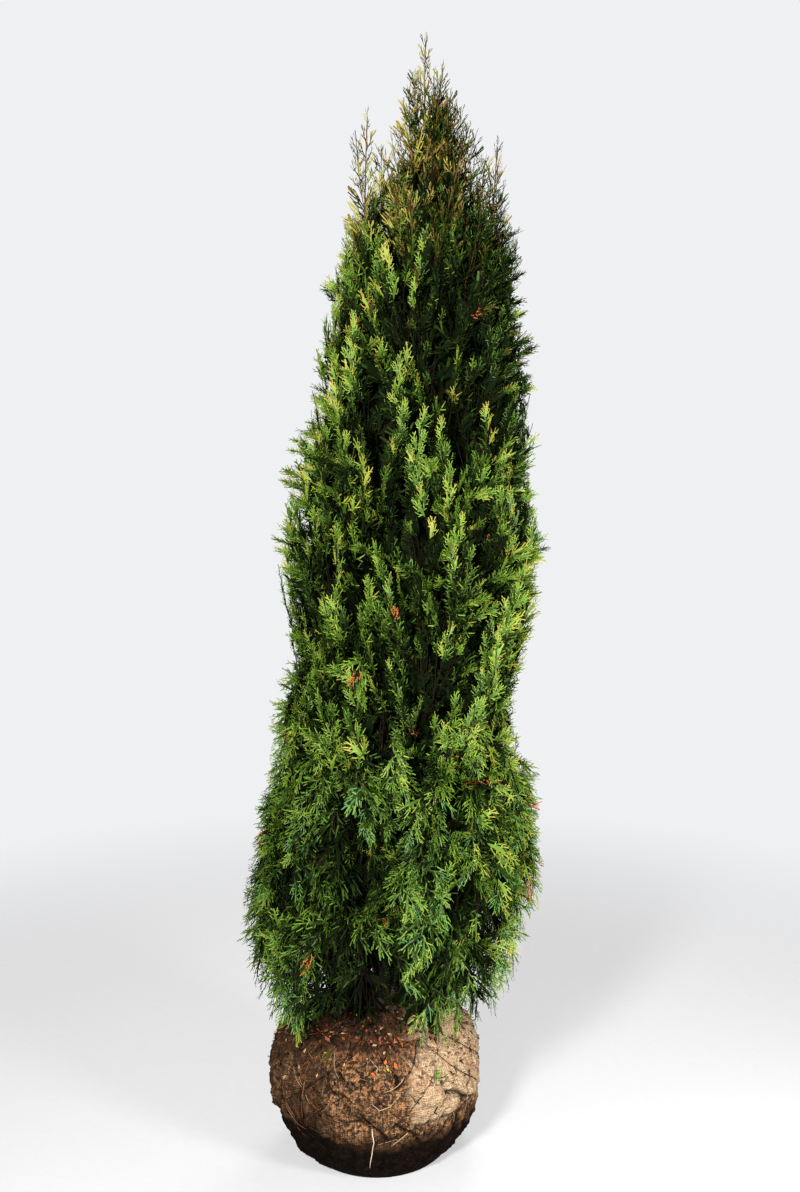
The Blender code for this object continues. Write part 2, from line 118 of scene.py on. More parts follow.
# %% A material under construction
class Finish:
    """A material under construction."""

    def __init__(self, name, roughness=0.8, **fixed):
        self.material = bpy.data.materials.new(name)
        self.material.use_nodes = True
        self.tree = self.material.node_tree
        self.shader = self.tree.nodes["Principled BSDF"]
        self.shader.inputs["Roughness"].default_value = roughness
        for socket, value in fixed.items():
            self.shader.inputs[socket.replace("_", " ")].default_value = value

    def node(self, kind, settings=None, inputs=None, output=0):
        """Adds a node, sets it, fills or links its sockets and returns one of its outputs."""
        made = self.tree.nodes.new(kind)
        for name, value in (settings or {}).items():
            if name == "stops":
                ramp = made.color_ramp
                while len(ramp.elements) < len(value):
                    ramp.elements.new(0.5)
                for element, (place, color) in zip(ramp.elements, value):
                    element.position, element.color = place, (*color, 1)
            else:
                setattr(made, name, value)
        for name, value in (inputs or {}).items():
            self.feed(made.inputs[name], value)
        return Value(self, made.outputs[output])

    def feed(self, socket, value):
        if isinstance(value, Value):
            self.tree.links.new(value.socket, socket)
        else:
            socket.default_value = value

    def place(self):
        """Object coordinates, which are the plant's own metres."""
        return self.node("ShaderNodeTexCoord", output="Object")

    def axes(self, vector):
        """The x, y and z of a vector."""
        split = self.node("ShaderNodeSeparateXYZ", {}, {0: vector}).socket.node
        return [Value(self, socket) for socket in split.outputs]

    def stretched(self, vector, scale):
        return self.node("ShaderNodeVectorMath", {"operation": "MULTIPLY"}, {0: vector, 1: scale})

    def noise(self, vector, scale, detail=2.0, roughness=0.5):
        return self.node(
            "ShaderNodeTexNoise", {},
            {"Vector": vector, "Scale": scale, "Detail": detail, "Roughness": roughness},
        )

    def mix(self, share, first, second):
        """One colour over another."""
        colors = {
            i: color if isinstance(color, Value) else (*color, 1)
            for i, color in ((6, first), (7, second))
        }
        return self.node("ShaderNodeMix", {"data_type": "RGBA"}, {0: share, **colors}, output=2)

    def color(self, value):
        self.feed(self.shader.inputs["Base Color"], value if isinstance(value, Value) else (*value, 1))
        return self

    def rough(self, value):
        self.feed(self.shader.inputs["Roughness"], value)
        return self

    def relief(self, height, distance, strength=1.0):
        bumped = self.node(
            "ShaderNodeBump", {}, {"Height": height, "Distance": distance, "Strength": strength}
        )
        self.feed(self.shader.inputs["Normal"], bumped)
        return self


def plain(name, color, roughness, gloss):
    """A finish of one colour, for things too small for a pattern."""
    return Finish(name, roughness=roughness, Specular_IOR_Level=gloss).color(color).material


print("shader helpers ready")

# %% [markdown]
# ## Small helpers for shapes
# Every new piece ends the same way: its mesh goes into the scene under a plain name, faces pointing
# out, and it rides on the plant's one body.

# %% Numbers and directions
def clamp(value):
    """A number held between 0 and 1."""
    return max(0.0, min(1.0, value))


def along(table, height):
    """The value at a height, read from (height, value) points joined by straight lines."""
    for (low, first), (high, second) in zip(table, table[1:]):
        if height <= high:
            share = max(0.0, (height - low) / (high - low))
            return first + (second - first) * share
    return table[-1][1]


def outward(angle):
    return Vector((math.cos(angle), math.sin(angle), 0))


def turn_of(vector):
    """The angle round the Z axis at which a place lies."""
    return math.atan2(vector.y, vector.x)


def away_from(angle, other):
    """The turn from one angle to another, the short way round."""
    return (angle - other + math.pi) % (2 * math.pi) - math.pi


def spot_round(turn, reach, height):
    """Where to look up noise for a place round the Z axis, so that it closes on itself."""
    return Vector((reach * math.cos(turn), reach * math.sin(turn), height))


print("half way up a slope of 1:", along([(0, 0), (1, 1)], 0.5))

# %% Pieces and meshes
def add_piece(name, mesh, materials, slot, *replaced):
    """Puts a mesh into the scene as a finished piece of the plant."""
    for material in materials:
        mesh.materials.append(material)
    piece = bpy.data.objects.new(name, mesh)
    scene.collection.objects.link(piece)
    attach(piece, "root")
    if replaced:
        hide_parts(*replaced)
    return piece


def mesh_of(shape, name, smooth=True):
    """Turns a bmesh into a mesh whose faces point out."""
    bmesh.ops.recalc_face_normals(shape, faces=shape.faces)
    if shape.calc_volume(signed=True) < 0:
        bmesh.ops.reverse_faces(shape, faces=shape.faces)
    mesh = bpy.data.meshes.new(name)
    shape.to_mesh(mesh)
    shape.free()
    if smooth:
        mesh.shade_smooth()
    return mesh


def turned_shape(profile, segments):
    """A closed profile of (radius, height) points, turned round the Z axis."""
    shape = bmesh.new()
    outline = [shape.verts.new((radius, 0, height)) for radius, height in profile]
    for low, high in zip(outline, outline[1:]):
        shape.edges.new((low, high))
    bmesh.ops.spin(
        shape, geom=shape.verts[:] + shape.edges[:], axis=UP, angle=2 * math.pi,
        steps=segments, use_merge=True,
    )
    bmesh.ops.remove_doubles(shape, verts=shape.verts, dist=1e-5)
    return shape


# %% Limbs and curves
def station_frames(path):
    """A matrix at each point of a path, whose Z runs along it, turning no more than it has to."""
    frames, turn = [], None
    for i, point in enumerate(path):
        ahead = (path[min(i + 1, len(path) - 1)] - path[max(i - 1, 0)]).normalized()
        if turn is None:
            turn = ahead.to_track_quat("Z", "X")
        else:
            turn = (turn @ UP).rotation_difference(ahead) @ turn
        frames.append(Matrix.Translation(point) @ turn.to_matrix().to_4x4())
    return frames


def pull_limb(shape, path, radii, sides):
    """Adds a tapering limb: a round face pulled from station to station, turned and resized at each."""
    frames = station_frames(path)
    made = bmesh.ops.create_circle(
        shape, cap_ends=True, segments=sides, radius=radii[0], matrix=frames[0]
    )["verts"]
    end = list({face for v in made for face in v.link_faces})
    for i in range(1, len(path)):
        pulled = bmesh.ops.extrude_face_region(shape, geom=end)["geom"]
        if i > 1:
            bmesh.ops.delete(shape, geom=end, context="FACES_ONLY")
        end = [part for part in pulled if isinstance(part, bmesh.types.BMFace)]
        corners = [part for part in pulled if isinstance(part, bmesh.types.BMVert)]
        step = frames[i] @ Matrix.Scale(radii[i] / radii[i - 1], 4) @ frames[i - 1].inverted()
        bmesh.ops.transform(shape, matrix=step, verts=corners)


def bend(start, middle, end, steps):
    """Points along a curve that leaves start towards middle and reaches end coming from it."""
    points = []
    for i in range(steps + 1):
        t = i / steps
        points.append(start * (1 - t) ** 2 + middle * 2 * t * (1 - t) + end * t * t)
    return points


def point_on(path, share):
    """A place at a share of the way along a path, and the direction there."""
    steps = len(path) - 1
    k = min(steps - 1, int(share * steps))
    return path[k].lerp(path[k + 1], share * steps - k), (path[k + 1] - path[k]).normalized()


print("helpers ready")

# %% [markdown]
# ## Floor and light
# A pale floor and soft light show a dark, deep plant well. The main lamp stands in front on the left,
# a weaker one low on the right and one behind, so the sprays are bright at their edges and the gaps
# between them fall into shade. The world is a plain near-white, but lights the plant only weakly.

# %% Floor, lamps and world
FLOOR_REACH = 3.4
FLOOR_FADE = (1.2, 3.2)  # it thins out between these distances
FLOOR_GLOW = 0.40
floor_shape = bmesh.new()
bmesh.ops.create_circle(floor_shape, cap_ends=True, segments=64, radius=FLOOR_REACH)
floor_finish = Finish(
    "pale floor", roughness=0.9, Emission_Color=(0.9, 0.9, 0.92, 1), Emission_Strength=FLOOR_GLOW
)
floor_place = floor_finish.place()
grain = floor_finish.noise(floor_place, 40, 4)
floor_finish.color(floor_finish.mix(grain, (0.255, 0.252, 0.25), (0.290, 0.287, 0.285)))
away = floor_finish.node("ShaderNodeVectorMath", {"operation": "LENGTH"}, {0: floor_place}, "Value")
floor_finish.feed(floor_finish.shader.inputs["Alpha"], 1 - away.between(*FLOOR_FADE))
floor_mesh = mesh_of(floor_shape, "floor", smooth=False)
floor_mesh.materials.append(floor_finish.material)
floor = bpy.data.objects.new("floor", floor_mesh)
scene.collection.objects.link(floor)

LAMPS = (  # place, what it points at, width and height, power
    ((-1.0, -3.1, 2.3), (0.0, 0.0, 1.45), 0.5, 0.7, 300),
    ((1.7, -1.5, 0.8), (0.2, 0.0, 0.75), 0.5, 0.6, 100),
    ((0.5, 2.4, 2.9), (0.05, 0.0, 1.4), 1.4, 1.4, 80),
)
for number, (place, target, wide, tall, power) in enumerate(LAMPS):
    lamp_data = bpy.data.lights.new(f"lamp {number}", "AREA")
    lamp_data.shape, lamp_data.size, lamp_data.size_y = "RECTANGLE", wide, tall
    lamp_data.energy = power
    lamp = bpy.data.objects.new(f"lamp {number}", lamp_data)
    lamp.location = place
    lamp.rotation_euler = (Vector(target) - Vector(place)).to_track_quat("-Z", "Y").to_euler()
    scene.collection.objects.link(lamp)

SEEN_STRENGTH = 0.93  # of the near-white world behind the plant
FILL_STRENGTH = 0.30  # of what the same world adds to the light
WORLD_COLOR = (0.93, 0.94, 0.96, 1)
world = bpy.data.worlds.new("studio")
scene.world = world
world.use_nodes = True
sky = world.node_tree
fill = sky.nodes["Background"]
seen = sky.nodes.new("ShaderNodeBackground")
for background, strength in ((fill, FILL_STRENGTH), (seen, SEEN_STRENGTH)):
    background.inputs["Color"].default_value = WORLD_COLOR
    background.inputs["Strength"].default_value = strength
either = sky.nodes.new("ShaderNodeMixShader")
sky.links.new(sky.nodes.new("ShaderNodeLightPath").outputs["Is Camera Ray"], either.inputs[0])
sky.links.new(fill.outputs[0], either.inputs[1])
sky.links.new(seen.outputs[0], either.inputs[2])
sky.links.new(either.outputs[0], sky.nodes["World Output"].inputs["Surface"])
scene.view_settings.view_transform = "Standard"
print("lamps:", len(LAMPS))

# %% [markdown]
# ## The plant's own sizes
# The twigs and sprays have to stay where the solid masses are. So the sizes that shaped the solids are
# written again here: the leaning middle line, the crown's outline, and the tiers of plumes. The crown's
# two sides differ a little, so each has an edge of its own, and round the trunk one blends into the
# other. A plume is one mass of foliage round its own stem, and owns the space that is nearer to its
# stem than to any other plume's.

# %% Sizes of ball and trunk
BALL_HEIGHT = 0.360
BALL_PROFILE = (  # radius and height, from the flat foot to the seat of the trunk
    (0.175, 0.000), (0.214, 0.030), (0.242, 0.085), (0.258, 0.145), (0.263, 0.205),
    (0.257, 0.262), (0.238, 0.305), (0.196, 0.336), (0.135, 0.352), (0.080, BALL_HEIGHT),
)
TRUNK_TOP = 2.290
TRUNK_RADII = (  # height and radius, with the root flare at the foot
    (BALL_HEIGHT, 0.052), (0.385, 0.038), (0.430, 0.031), (1.000, 0.024), (1.700, 0.014),
    (TRUNK_TOP, 0.006),
)
CROWN_LEAN = (  # height and x of the middle line of trunk and crown
    (BALL_HEIGHT, 0.014), (0.390, 0.014), (0.600, 0.030), (1.300, 0.073), (2.000, 0.118),
    (2.350, 0.126), (2.730, 0.116),
)
print("ball and trunk:", BALL_HEIGHT, "m and up to", TRUNK_TOP, "m")

# %% Outline of the crown
CROWN_OUTLINE = (  # height, and how far the furthest sprays reach from the middle line
    (0.325, 0.262), (0.400, 0.318), (0.470, 0.345), (0.620, 0.366), (0.800, 0.356), (0.950, 0.326),
    (1.100, 0.298), (1.240, 0.284), (1.420, 0.318), (1.560, 0.320), (1.750, 0.294), (1.950, 0.264),
    (2.150, 0.234), (2.300, 0.188), (2.400, 0.104), (2.540, 0.060), (2.630, 0.036), (2.730, 0.006),
)
LEFT_EDGE = (  # height, and how far the sprays reach on the -X side
    (0.325, 0.240), (0.372, 0.285), (0.425, 0.331), (0.530, 0.362), (0.640, 0.364), (0.740, 0.350),
    (0.840, 0.332), (0.940, 0.318), (1.000, 0.299), (1.100, 0.310), (1.190, 0.311), (1.250, 0.274),
    (1.300, 0.288), (1.370, 0.316), (1.490, 0.333), (1.560, 0.326), (1.620, 0.304), (1.740, 0.316),
    (1.790, 0.298), (1.860, 0.282), (1.930, 0.256), (2.020, 0.258), (2.120, 0.241), (2.210, 0.211),
    (2.300, 0.184), (2.350, 0.128), (2.420, 0.100), (2.540, 0.068), (2.630, 0.040), (2.730, 0.006),
)
RIGHT_EDGE = (  # and on the +X side
    (0.325, 0.240), (0.372, 0.280), (0.450, 0.302), (0.530, 0.344), (0.660, 0.371), (0.790, 0.364),
    (0.870, 0.357), (0.940, 0.335), (1.000, 0.310), (1.050, 0.284), (1.100, 0.262), (1.150, 0.260),
    (1.200, 0.284), (1.250, 0.278), (1.350, 0.306), (1.450, 0.320), (1.590, 0.311), (1.660, 0.284),
    (1.740, 0.280), (1.830, 0.284), (1.930, 0.270), (2.000, 0.252), (2.100, 0.222), (2.200, 0.224),
    (2.250, 0.214), (2.300, 0.192), (2.350, 0.132), (2.420, 0.104), (2.540, 0.070), (2.630, 0.042),
    (2.730, 0.006),
)
SKIRT_HEIGHT = 0.315  # of the lowest drooping tips
print("points of the edges:", len(LEFT_EDGE), "and", len(RIGHT_EDGE))

# %% Tiers, leading shoots and boughs
TIERS = (  # height of the stems' feet, of their tips, number of plumes, turn of the first in degrees
    (0.515, 0.790, 6, 4),
    (0.850, 1.150, 5, 40),
    (1.210, 1.500, 5, 2),
    (1.560, 1.840, 4, 42),
    (1.900, 2.180, 4, 6),
)
STEM_FOOT_SHARE = 0.42  # where a stem starts and ends, as a share of the crown's reach there
STEM_TIP_SHARE = 0.66
LEADERS = (  # tips of the spires that the top tier's plumes end in, in their order round the trunk
    Vector((0.287, -0.010, 2.494)), Vector((0.060, 0.090, 2.430)),
    Vector((-0.019, -0.015, 2.559)), Vector((0.205, -0.085, 2.470)),
)
TOP_TIP = Vector((0.116, 0.000, 2.729))
TOP_STEM_SHARE = 0.35
BOUGH_DROP = 0.085  # how far below its plume's foot a bough leaves the trunk
BOUGH_TURN = 0.055
BOUGH_RADIUS = 0.0105
BOUGH_TO_TRUNK = 0.62
GOLDEN_TURN = math.radians(137.508)
GOLDEN_SHARE = 0.618
PLASTIC_SHARE = 0.755
STEM_ENDS = (0.05, 0.92)  # shares of a stem between which its shoots leave it
BOUGH_STATIONS = 6
HALFWAY_ROUNDS = 60  # enough for two stems' nearest points to settle


print("tiers:", len(TIERS), "leading shoots:", len(LEADERS) + 1)

# %% Reading the sizes
def axis_point(height):
    """The crown's and the trunk's middle line."""
    return Vector((along(CROWN_LEAN, height), 0, height))


def crown_reach(height):
    return along(CROWN_OUTLINE, height)


def crown_edge(turn, height):
    """How far the sprays reach at a turn round the trunk."""
    right = 0.5 + 0.5 * math.cos(turn)
    return along(LEFT_EDGE, height) * (1 - right) + along(RIGHT_EDGE, height) * right


def ball_reach(height):
    return along([(level, radius) for radius, level in BALL_PROFILE], height)


print("crown reaches", crown_reach(0.62), "m from its middle line")

# %% One plume
def onto(point, start, end):
    """The point on a straight run that is nearest to a given one."""
    run = end - start
    return start + run * clamp((point - start).dot(run) / run.length_squared)


class Plume:
    """One mass of foliage: its stem from foot to tip, its leading shoot if it has one, its own space."""

    def __init__(self, name, foot, tip, leader, seed):
        self.name, self.foot, self.tip, self.leader = name, foot, tip, leader
        self.chance = random.Random(seed)
        self.direction = (tip - foot).normalized()
        self.middle = foot.lerp(tip, 0.5)
        self.bounds = []  # each a point on a plane and its normal, which points out of the space
        self.bough = []

    def stem_point(self, height):
        """The point of the stem at a height, or past its ends the nearest one moved to that height."""
        share = (height - self.foot.z) / (self.tip.z - self.foot.z)
        point = self.foot.lerp(self.tip, min(STEM_ENDS[1], max(STEM_ENDS[0], share)))
        point.z = height
        return point


print("a stem's shoots leave it between shares", STEM_ENDS)

# %% All the plumes and the space each owns
def plan_plumes():
    """The plumes tier by tier, each with its bough, and the one at the very top."""
    plumes = []
    for tier, (foot_height, tip_height, count, turn) in enumerate(TIERS):
        for k in range(count):
            out = outward(math.radians(turn + 360 * k / count))
            foot = axis_point(foot_height) + out * crown_reach(foot_height) * STEM_FOOT_SHARE
            tip = axis_point(tip_height) + out * crown_reach(tip_height) * STEM_TIP_SHARE
            leader = LEADERS[k] if tier == len(TIERS) - 1 else None
            plume = Plume(f"tier{tier + 1}_{'abcdef'[k]}", foot, tip, leader, 100 * tier + k)
            start = axis_point(foot_height - BOUGH_DROP)
            plume.bough = bend(start, foot - plume.direction * BOUGH_TURN, foot, BOUGH_STATIONS)
            plumes.append(plume)
    foot = axis_point(TRUNK_TOP)
    plumes.append(Plume("top", foot, foot.lerp(TOP_TIP, TOP_STEM_SHARE), TOP_TIP, 999))
    return plumes


def share_space(plumes):
    """Gives every plume the planes, halfway to the others' stems, that bound its space."""
    for i, first in enumerate(plumes):
        for second in plumes[i + 1:]:
            ends = first.leader or first.tip, second.leader or second.tip
            near, far = first.middle, second.middle
            for _ in range(HALFWAY_ROUNDS):
                near = onto(far, first.foot, ends[0])
                far = onto(near, second.foot, ends[1])
            out = (far - near).normalized()
            first.bounds.append((near.lerp(far, 0.5), out))
            second.bounds.append((near.lerp(far, 0.5), -out))


plumes = plan_plumes()
share_space(plumes)
print("plumes:", len(plumes))

# %% [markdown]
# ## The root ball: cloth that swells through a wire net
# The ball is burlap pulled tight round packed soil, with a net of thin wire drawn over it. Between the
# wires the cloth swells a little, and each wire lies in a crease. A turned profile gives the ball. Then
# every point is moved by one sum of swell, lumps, folds, tucks, crumpled creases and the step where one
# edge of the cloth laps over another. Relief this large is real shape, because it shows in the outline;
# only the weave and the finest crumples are left to a bump.

# %% Numbers of net, folds and tucks
NET_WIRES = 17  # each way round the ball
NET_TURN = math.radians(88)  # how far round a wire runs from foot to top
CLOTH_SWELL = 0.0075
NET_TOP = 0.352
FOLD_DEPTH = 0.0075
LAP_STEP = 0.005  # the thickness of the doubled cloth
BALL_RINGS = 94
BALL_SEGMENTS = 224
TUCK_REACH = 0.25  # metres round the ball for one radian, to measure distance to a tuck
TUCK_SPAN = 1.0  # radians past which a tuck is out of reach
GROOVE_HALF = 0.0050  # of a tuck's groove, and of the lip of cloth beside it
LIP_HALF = 0.009
LIP_AWAY = 0.011
PINCH_DEPTH = 0.0048
CRUMPLE_SEED = 4
CLOTH_SINK = 0.006  # brings the mean of all the relief back to the solid's surface
LAP_SOFT = 0.0012
TUCKS = [  # angle and height of both ends, and depth
    (-0.90, 0.238, -0.44, 0.176, 0.011), (-1.42, 0.192, -1.04, 0.098, 0.007),
    (-1.74, 0.216, -1.40, 0.120, 0.007), (-1.97, 0.294, -1.76, 0.268, 0.010),
    (-2.08, 0.264, -1.79, 0.232, 0.010), (-1.41, 0.312, -1.35, 0.258, 0.006),
    (-2.75, 0.300, -2.45, 0.120, 0.008), (-2.35, 0.250, -2.28, 0.130, 0.007),
    (-0.72, 0.170, -0.60, 0.080, 0.008), (-0.52, 0.165, -0.50, 0.075, 0.007),
]
BACK_TUCKS = 16
tuck_chance = random.Random(17)
for _ in range(BACK_TUCKS):
    angle, height = tuck_chance.uniform(0.0, 3.0), tuck_chance.uniform(0.10, 0.28)
    TUCKS.append((
        angle, height, angle + tuck_chance.uniform(-0.35, 0.35), height - tuck_chance.uniform(0.03, 0.10),
        tuck_chance.uniform(0.005, 0.010),
    ))


print("wires each way:", NET_WIRES, "tucks:", len(TUCKS))

# %% Net, tucks and creases
def crease(value):
    """0 where value is whole and 1 halfway between."""
    return abs(math.sin(math.pi * value))


def net_wave(angle, height, way):
    """Which wire of one family a place lies at; the wires wander a little."""
    drift = 0.15 * math.sin(3.1 * angle * way + 9 * height + way) + 0.10 * math.sin(23 * height - 2 * angle)
    turned = angle + way * NET_TURN * (height / NET_TOP - 0.5)
    return turned * NET_WIRES / (2 * math.pi) + drift + 0.17 + 0.32 * way


def swelling(angle, height):
    """0 along every wire and 1 in the middle of each diamond between them."""
    return crease(net_wave(angle, height, 1)) * crease(net_wave(angle, height, -1))


def tucked(angle, height):
    """How far the nearest tucks push the cloth out or pull it in, and how deep in one a place is."""
    out, deep = 0.0, 0.0
    for angle_a, height_a, angle_b, height_b, depth in TUCKS:
        away = away_from(angle, angle_a)
        if abs(away) > TUCK_SPAN:
            continue
        run = Vector(((angle_b - angle_a) * TUCK_REACH, height_b - height_a))
        spot = Vector((away * TUCK_REACH, height - height_a))
        share = spot.dot(run) / run.length_squared
        across = (run.x * spot.y - run.y * spot.x) / run.length
        across += 0.0035 * math.sin(9 * share + 40 * angle_a)
        fade = max(0.0, 1 - (2 * share - 1) ** 4) if 0 < share < 1 else 0.0
        groove = math.exp(-(across / GROOVE_HALF) ** 2) * fade
        lip = math.exp(-((across - LIP_AWAY) / LIP_HALF) ** 2) * fade
        out += depth * (0.8 * lip - groove)
        deep = max(deep, groove)
    return out, deep


def pinched(angle, height):
    """1 along the thin, crooked creases of crumpled cloth and 0 between them."""
    spot = spot_round(angle, 7, height * 21)
    spot += 0.9 * noise.noise_vector(spot * 0.6)
    strong = clamp(0.5 + 1.6 * noise.noise(spot * 0.45 + Vector((4, 4, 4))))
    return strong * max(0.0, 1 - abs(noise.noise(spot)) * 6.5) ** 2


print("swelling at the front, halfway up:", round(swelling(-math.pi / 2, BALL_HEIGHT / 2), 3))

# %% All the relief of the cloth
def lap(angle, height):
    """How far above the lapped edge of the cloth a place lies: the edge climbs round the ball."""
    return height - 0.185 - 0.055 * math.sin(angle + 0.6) - 0.012 * math.sin(5 * angle + 1.0)


def cloth_out(angle, height):
    """How far the cloth lies outside the ball's smooth profile."""
    free = min(1.0, height / 0.03) * min(1.0, max(0.0, (BALL_HEIGHT - height) / 0.02))
    swell = swelling(angle, height)
    lump = 0.005 * math.sin(2 * angle + 0.7) + 0.004 * math.sin(3 * angle + 20 * height)
    spot = spot_round(angle, 3, height * 9)
    wrinkle = 1 - abs(noise.noise(spot * 1.7 + Vector((0, 0, 4.3 * math.sin(angle * 2)))) * 2.2)
    upright = 1 - abs(noise.noise(spot_round(angle, 10, height * 3 + 5)) * 2.4)
    left = 0.5 - 0.5 * math.cos(angle)  # 1 on the -X side, where the cloth is gathered
    fold = FOLD_DEPTH * (max(0.0, wrinkle) ** 4 * 0.5 + max(0.0, upright) ** 3 * (0.15 + left ** 2))
    small = 0.0024 * noise.noise(spot * 7) - PINCH_DEPTH * pinched(angle, height)
    doubled = LAP_STEP / (1 + math.exp(-lap(angle, height) / LAP_SOFT))
    relief = CLOTH_SWELL * (swell ** 0.45 - 0.80) + lump + fold + small + doubled
    return (relief + tucked(angle, height)[0] - CLOTH_SINK) * free


def crease_shade_and_soil(angle, height):
    """Painted shade and caught soil: 0 on open cloth and 1 in the creases of the wires, in tucks and under
    the lapped edge.
    """
    patchy = noise.noise(spot_round(angle, 4, height * 16)) > -0.1
    in_crease = max(0.0, 1 - swelling(angle, height) / 0.10) * (0.35 + 0.65 * patchy)
    under_lap = math.exp(-((lap(angle, height) + 0.006) / 0.006) ** 2)
    in_tuck, in_pinch = tucked(angle, height)[1], pinched(angle, height)
    return min(1.0, max(0.75 * in_crease, 0.8 * under_lap, 1.2 * in_tuck, 0.9 * in_pinch))


def ball_point(angle, height, above=0.0):
    """A place on the cloth, or just above it."""
    radius = ball_reach(height) + cloth_out(angle, height) + above
    return outward(angle) * radius + UP * height


# the darkening in creases and tucks is painted shade as well as caught soil
print("soil is caught where creases and tucks run; steps up the ball:", BALL_RINGS)

# %% Shape of the ball
def ball_shape():
    foot_radius = BALL_PROFILE[0][0]
    coarse = [Vector((radius, height)) for radius, height in BALL_PROFILE]
    lengths = [0.0]
    for a, b in zip(coarse, coarse[1:]):
        lengths.append(lengths[-1] + (b - a).length)
    rings = []
    for i in range(BALL_RINGS + 1):
        reach = lengths[-1] * i / BALL_RINGS
        k = max(0, sum(1 for length in lengths[1:-1] if length < reach))
        rings.append(coarse[k].lerp(coarse[k + 1], (reach - lengths[k]) / (lengths[k + 1] - lengths[k])))
    profile = [(0.0, 0.0), (0.5 * foot_radius, 0.0), *rings, (0.04, BALL_HEIGHT), (0.0, BALL_HEIGHT)]
    shape = turned_shape(profile, BALL_SEGMENTS)
    side = [e for e in shape.edges if min(v.co.to_2d().length for v in e.verts) > 0.7 * foot_radius]
    bmesh.ops.subdivide_edges(shape, edges=side, cuts=1, use_grid_fill=True)
    for v in shape.verts:
        angle = turn_of(v.co)
        v.co += outward(angle) * cloth_out(angle, v.co.z)
    return shape


noise.seed_set(CRUMPLE_SEED)  # without it noise_vector crumples the cloth anew at each run
ball = ball_shape()
print("ball faces:", len(ball.faces))

# %% [markdown]
# ## Burlap
# Burlap is coarse plain weave: flat tan jute threads with small dark holes between them. The piece gets
# a UV map in metres round and up the ball, so two crossed waves and two stretched noises make the
# threads and follow the cloth. Soil has soaked through it nearly everywhere, and the cloth is paler at
# the front right. The foot is black with wet and with painted shade under the ball's belly, the top is
# dark with litter and with painted shade under the crown, and creases, tucks and the lapped edge carry
# painted shade and caught soil. All of that is colour and bump.

# %% Burlap finish
THREADS_PER_METRE = 185
UNROLLED_RADIUS = 0.24  # metres of cloth for one radian round the ball


